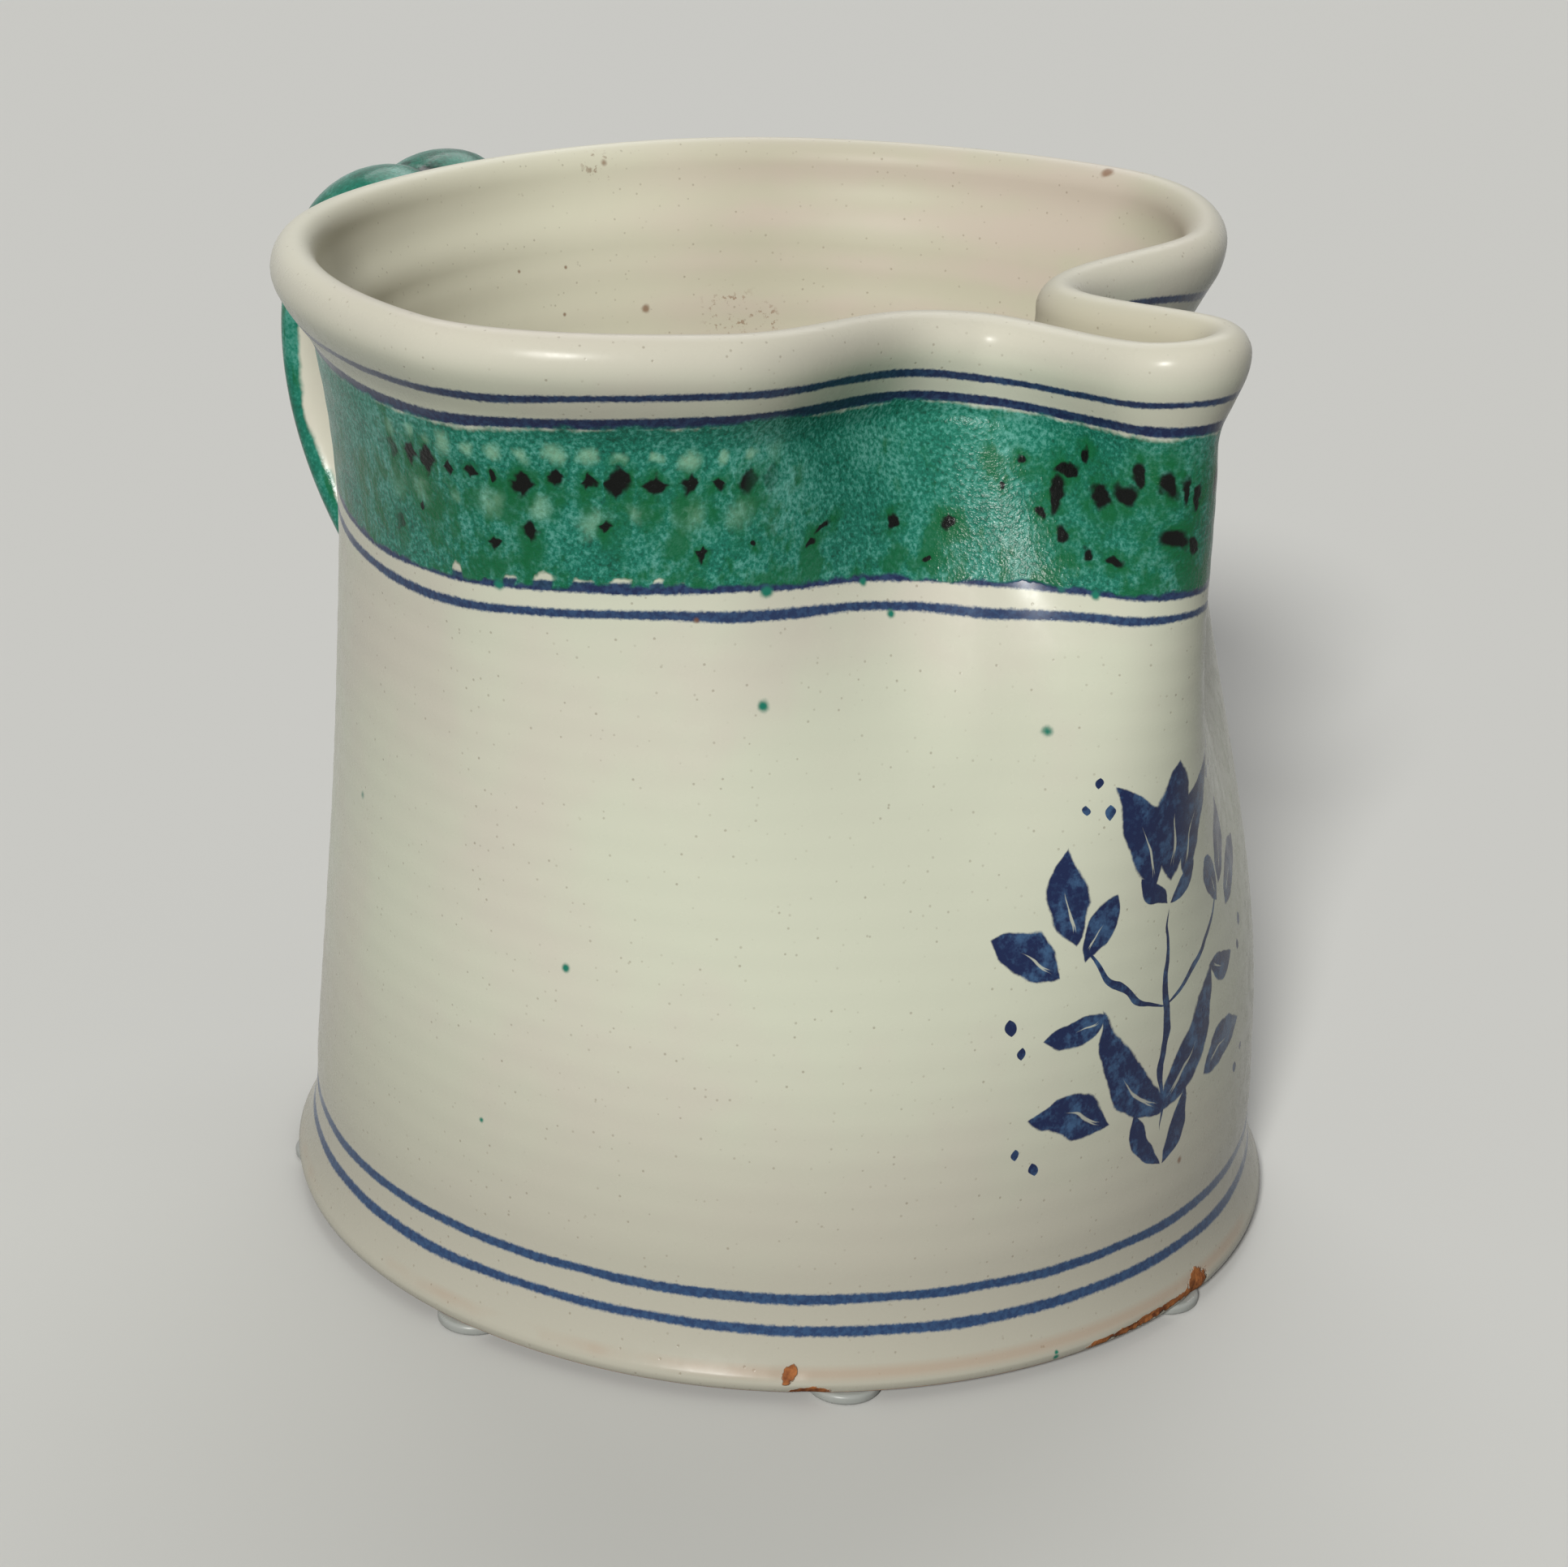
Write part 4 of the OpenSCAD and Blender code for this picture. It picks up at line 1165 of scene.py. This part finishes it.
def pulled_canvas(node, at):
    """The canvas that dabs are drawn on, along the turn and up, as the wet glaze has pulled it about."""
    pull = node("TexNoise", at.place, every(3.6), *FINE, out="Color")
    pull = node("VectorMath SUBTRACT", pull, MIDDLE)
    flat = node("CombineXYZ", at.along, node("Math MULTIPLY_ADD", at.wave, -ROWS_FOLLOW, at.level))
    pulled = node("VectorMath MULTIPLY_ADD", pull, (DAB_PULL, DAB_PULL, 0.0), flat)
    pulled = node("SeparateXYZ", pulled, out=None)
    return pulled["X"], pulled["Y"]


def dab_copper(node, at, colours, copper, canvas, dabbed):
    """Sets pale and dark dabs in the copper, and lets emerald run down round the dark ones."""
    pale = []
    for row, seed, strength in PALE_ROWS:
        spot = spot_row(node, canvas, row, seed)
        pale.append(node("MapRange SMOOTHSTEP", spot, 0.1, 1.25, strength, 0.0))
    pale = node("Math MULTIPLY", reduce(partial(node, "Math MAXIMUM"), pale), dabbed)
    copper = node("Mix RGBA", pale, copper, colours.pale_dab)
    on_spout = spout_dabs(node, canvas)
    dark = node("MapRange SMOOTHSTEP", on_spout, 0.62, 1.14, 1.0, 0.0)
    halo = node("MapRange SMOOTHSTEP", on_spout, 0.9, 4.0, 1.0, 0.0)
    for row, seed, tail in DARK_ROWS:
        core = spot_row(node, canvas, row, seed, tail, cornered=True)
        core = node("MapRange SMOOTHSTEP", core, 0.66, 1.16, 1.0, 0.0)
        ring = spot_row(node, canvas, row, seed, HALO_TAIL)
        ring = node("MapRange SMOOTHSTEP", ring, 0.7, 2.0, 0.95, 0.0)
        dark = node("Math MAXIMUM", dark, node("Math MULTIPLY", core, dabbed))
        halo = node("Math MAXIMUM", halo, node("Math MULTIPLY", ring, dabbed))
    halo = node("Math MULTIPLY", halo, node("MapRange", at.tremble, 0.36, 0.58, 0.25, 1.0))
    copper = node("Mix RGBA", halo, copper, colours.emerald)
    return node("Mix RGBA", dark, copper, colours.manganese)


def copper_band(node, at, colours, colour):
    """Paints the copper band over this colour: streaked, dabbed, and scalloped along its lower edge. Gives
    the colour, where the band lies, and its grain."""
    across, up = node("Math MULTIPLY", at.along, every(6)), node("Math MULTIPLY", at.level, every(9))
    streaks = node("TexNoise", node("CombineXYZ", across, up), 1.0, *STREAKY)
    low_down = node("MapRange", at.level, 143 * MM, 162 * MM, 0.07, -0.07)
    streaks = node("Math ADD", streaks, low_down)
    copper, grain = copper_mottle(node, at.place, streaks, colours, 1.0)
    canvas = pulled_canvas(node, at)
    dabbed, scalloped = dab_groups(node, at)
    copper = dab_copper(node, at, colours, copper, canvas, dabbed)
    edge_level = node("Math ADD", canvas[1], node("Math MULTIPLY", at.wave, -SCALLOPS_FOLLOW))
    scallop = spot_row(node, (canvas[0], edge_level), SCALLOP_ROW, SCALLOP_SEED)
    scallop = node("MapRange SMOOTHSTEP", scallop, 0.7, 1.1, 0.1, 1.0)
    scallop = node("Math MAXIMUM", scallop, node("Math SUBTRACT", 1.0, scalloped))
    band = node("Math MULTIPLY", node("Math MULTIPLY", band_cover(node, at), scallop), at.outside)
    return node("Mix RGBA", band, colour, copper), band, grain


def scattered(node, at, marks):
    """Small marks at given places: 1 on a mark, 0 off it."""
    spots = []
    for x, y, z, radius in marks:
        away = node("VectorMath DISTANCE", at.place, (x * MM, y * MM, z * MM), out="Value")
        away = node("Math MULTIPLY_ADD", at.ragged, radius * MM, away)
        spots.append(node("MapRange SMOOTHSTEP", away, 0.9 * radius * MM, 1.9 * radius * MM, 1.0, 0.0))
    return reduce(partial(node, "Math MAXIMUM"), spots)


def specks_and_iron(node, at, colours, colour):
    """Green specks flicked onto the glaze, and iron that came through it in spots and speckle."""
    colour = node("Mix RGBA", scattered(node, at, GREEN_SPECKS), colour, colours.copper)
    speckle = node("TexNoise", at.place, every(1.6), *SPATTERED)
    speckle = node("MapRange SMOOTHSTEP", speckle, 0.56, 0.66, 0.0, 0.8)
    speckle = node("Math MULTIPLY", speckle, scattered(node, at, IRON_SPECKLE))
    iron = node("Math MAXIMUM", scattered(node, at, IRON_SPOTS), speckle)
    return node("Mix RGBA", node("Math MULTIPLY", iron, 0.75), colour, colours.iron)


def chipped(node, at):
    """Where the foot's edge is chipped down to the clay."""
    canvas = node("CombineXYZ", at.along, at.level)
    ragged = node("Math SUBTRACT", at.ragged, 0.5)
    chips = []
    for a, z, half_l, half_h, _, slant in FOOT_CHIPS:
        middle = (a * MAP_R, z, 0)
        halves = (half_l, half_h, 1)
        chip = node("Mapping", canvas, middle, (0, 0, slant), halves, vector_type="TEXTURE")
        chip = node("VectorMath LENGTH", chip, out="Value")
        chip = node("Math MULTIPLY_ADD", ragged, 1.9, chip)
        chips.append(node("MapRange SMOOTHSTEP", chip, 0.95, 1.15, 1.0, 0.0))
    return reduce(partial(node, "Math MAXIMUM"), chips)


def worn_foot(node, at, colours, colour):
    """Clay where the foot is chipped or left bare, and a warm line where the glaze wore thin along its edge.
    Gives the colour and where the clay is bare."""
    worn = node("Math MAXIMUM", chipped(node, at), at.bare)
    burnt = node("MapRange", at.ragged, 0.4, 0.6, 0.0, 1.0)
    clay = node("Mix RGBA", burnt, colours.clay, colours.clay_dark)
    colour = node("Mix RGBA", worn, colour, clay)
    off_edge = node("Math ABSOLUTE", node("Math ADD", at.level, -WORN_EDGE))
    thin = node("MapRange", off_edge, 0.3 * MM, 1.5 * MM, 0.24, 0.0)
    thin = node("Math MULTIPLY", thin, node("MapRange", at.clouds, 0.45, 0.55, 0.0, 1.0))
    return node("Mix RGBA", thin, colour, colours.clay), worn


def glaze_relief(node, at, band, grain, hole, worn):
    """The glaze's unevenness in millimetres: ripples, peel, the band's grain, pinholes and broken clay."""
    relief = node("Math MULTIPLY", node("TexNoise", at.place, every(9), *SOFT), 0.06)
    peel = node("TexNoise", at.place, every(1.4), *SOFT)
    relief = node("Math MULTIPLY_ADD", peel, 0.005, relief)
    relief = node("Math MULTIPLY_ADD", node("Math MULTIPLY", grain, band), 0.16, relief)
    relief = node("Math MULTIPLY_ADD", hole, -0.03, relief)
    relief = node("Math MULTIPLY_ADD", node("Math MULTIPLY", at.ragged, worn), 0.5, relief)
    return node("Bump", 1.0, 1 * MM, None, relief)


def tin_glaze(colours):
    """Tin-glazed earthenware: an opaque cream glaze, glossy and faintly rippled, with pinholes, warm where
    the clay shows through, painted with cobalt and a copper band before the last firing."""
    material, node = new_material("tin_glazed_earthenware")
    at = glazed_ground(node)
    colour = bare_glaze(node, at, colours)
    hole = pinholes(node, at)
    colour = node("Mix RGBA", node("Math MULTIPLY", hole, 0.45), colour, colours.pinhole)
    colour = cobalt_paint(node, at, colours, colour)
    colour, band, grain = copper_band(node, at, colours, colour)
    colour = specks_and_iron(node, at, colours, colour)
    colour, worn = worn_foot(node, at, colours, colour)
    normal = glaze_relief(node, at, band, grain, hole, worn)
    # Glossy outside, duller inside, and dull where the clay is bare
    rough = node("MapRange", at.tremble, 0.3, 0.7, 0.2, 0.32)
    rough = node("Mix", at.inside, rough, 0.45)
    rough = node("Mix", worn, rough, 0.8)
    skin = {"Base Color": colour, "Roughness": rough, "Normal": normal, **FIRED}
    node("OutputMaterial", node("BsdfPrincipled", named=skin), out=None)
    return material


def brushed_copper_glaze(colours):
    """Copper glaze brushed along the strap over cream tin glaze: streaky and glossy, broken to cream on the
    inner face."""
    material, node = new_material("brushed_copper_glaze")
    place = node("TexCoord", out="Object")
    canvas = node("SeparateXYZ", node("UVMap", uv_map=GLAZE_MAP), out=None)
    outer = node("Attribute", attribute_name=OUTER_FACE, out="Fac")
    # So many streaks along the strap and round it
    along, about = node("Math MULTIPLY", canvas["X"], 9.0), node("Math MULTIPLY", canvas["Y"], 30.0)
    streaks = node("TexNoise", node("CombineXYZ", along, about), 1.0, *RAGGED)
    copper, grain = copper_mottle(node, place, streaks, colours, 0.3)
    tremble = node("TexNoise", place, every(5), *RAGGED)
    sway = node("TexNoise", place, every(16), *SOFT)
    cream = node("TexNoise", place, every(30), *HAZY)
    cream = node("Mix RGBA", cream, colours.cream, colours.blush)
    cover = node("Math MULTIPLY_ADD", node("Math SUBTRACT", sway, 0.5), 0.9, outer)
    cover = node("Math MULTIPLY_ADD", node("Math SUBTRACT", tremble, 0.5), 0.25, cover)
    cover = node("MapRange SMOOTHSTEP", cover, -0.5, -0.36, 0.0, 1.0)
    colour = node("Mix RGBA", cover, cream, copper)
    # Manganese gathers in the groove between the reeds
    groove = node("Math ABSOLUTE", node("Math SUBTRACT", canvas["Y"], 0.5))
    groove = node("MapRange SMOOTHSTEP", groove, 0.012, 0.05, 1.0, 0.0)
    groove = node("Math MULTIPLY", groove, node("MapRange", tremble, 0.42, 0.56, 0.0, 0.9))
    colour = node("Mix RGBA", groove, colour, colours.manganese)
    relief = node("Math MULTIPLY", node("TexNoise", place, every(8), *SOFT), 0.14)
    relief = node("Math MULTIPLY_ADD", node("Math MULTIPLY", grain, cover), 0.07, relief)
    normal = node("Bump", 1.0, 1 * MM, None, relief)
    rough = node("MapRange", tremble, 0.3, 0.7, 0.15, 0.27)
    skin = {"Base Color": colour, "Roughness": rough, "Normal": normal, **FIRED}
    node("OutputMaterial", node("BsdfPrincipled", named=skin), out=None)
    return material


def clear_soft_plastic(colours):
    """Clear soft plastic, moulded: pale, slightly cloudy, with a dull gloss."""
    material, node = new_material("clear_soft_plastic")
    cloud = node("TexNoise", node("TexCoord", out="Object"), every(3), *RAGGED)
    colour = node("Mix RGBA", cloud, colours.pad, colours.pad_cloud)
    rough = node("MapRange", cloud, 0.3, 0.7, 0.25, 0.4)
    skin = {"Base Color": colour, "Roughness": rough, "IOR": 1.45, "Transmission Weight": 0.45}
    node("OutputMaterial", node("BsdfPrincipled", named=skin), out=None)
    return material


def matt_board(colours):
    """Pale painted board: matt, and paler where it is seen or mirrored than in the light it throws back."""
    material, node = new_material("pale_matt_board")
    shade = node("Mix RGBA", seen_or_mirrored(node), colours.floor_bounce, colours.floor)
    node("OutputMaterial", node("BsdfDiffuse", shade), out=None)
    return material


class PITCHER_PT_panel(bpy.types.Panel):
    """Lists the pieces of the pitcher, with the sizes and colours that make them"""
    bl_label = "Pitcher"
    bl_space_type = "VIEW_3D"
    bl_region_type = "UI"
    bl_category = "Pitcher"

    def draw(self, context):
        for operator, group in PIECES:
            self.layout.operator(operator.bl_idname)
            if group:
                settings = getattr(context.scene, group)
                column = self.layout.column(align=True)
                for name in settings.__annotations__:
                    column.prop(settings, name)


# Each piece with the settings it is made from
PIECES = (
    (PITCHER_OT_stage, "pitcher_colours"),
    (PITCHER_OT_thrown_body, "pitcher_body"),
    (PITCHER_OT_strap_handle, "pitcher_handle"),
    (PITCHER_OT_foot_pads, "pitcher_pads"),
)
SETTINGS = {
    "pitcher_body": PITCHER_body_sizes,
    "pitcher_handle": PITCHER_handle_sizes,
    "pitcher_pads": PITCHER_pad_sizes,
    "pitcher_colours": PITCHER_glaze_colours,
}
CLASSES = (*SETTINGS.values(), *(operator for operator, _ in PIECES), PITCHER_PT_panel)


def register():
    for cls in CLASSES:
        bpy.utils.register_class(cls)
    for name, group in SETTINGS.items():
        setattr(bpy.types.Scene, name, PointerProperty(type=group))


def unregister():
    for name in SETTINGS:
        delattr(bpy.types.Scene, name)
    for cls in reversed(CLASSES):
        bpy.utils.unregister_class(cls)


def main():
    register()
    bpy.ops.pitcher.stage()
    bpy.ops.pitcher.thrown_body()
    bpy.ops.pitcher.strap_handle()
    bpy.ops.pitcher.foot_pads()


if __name__ == "__main__":
    main()
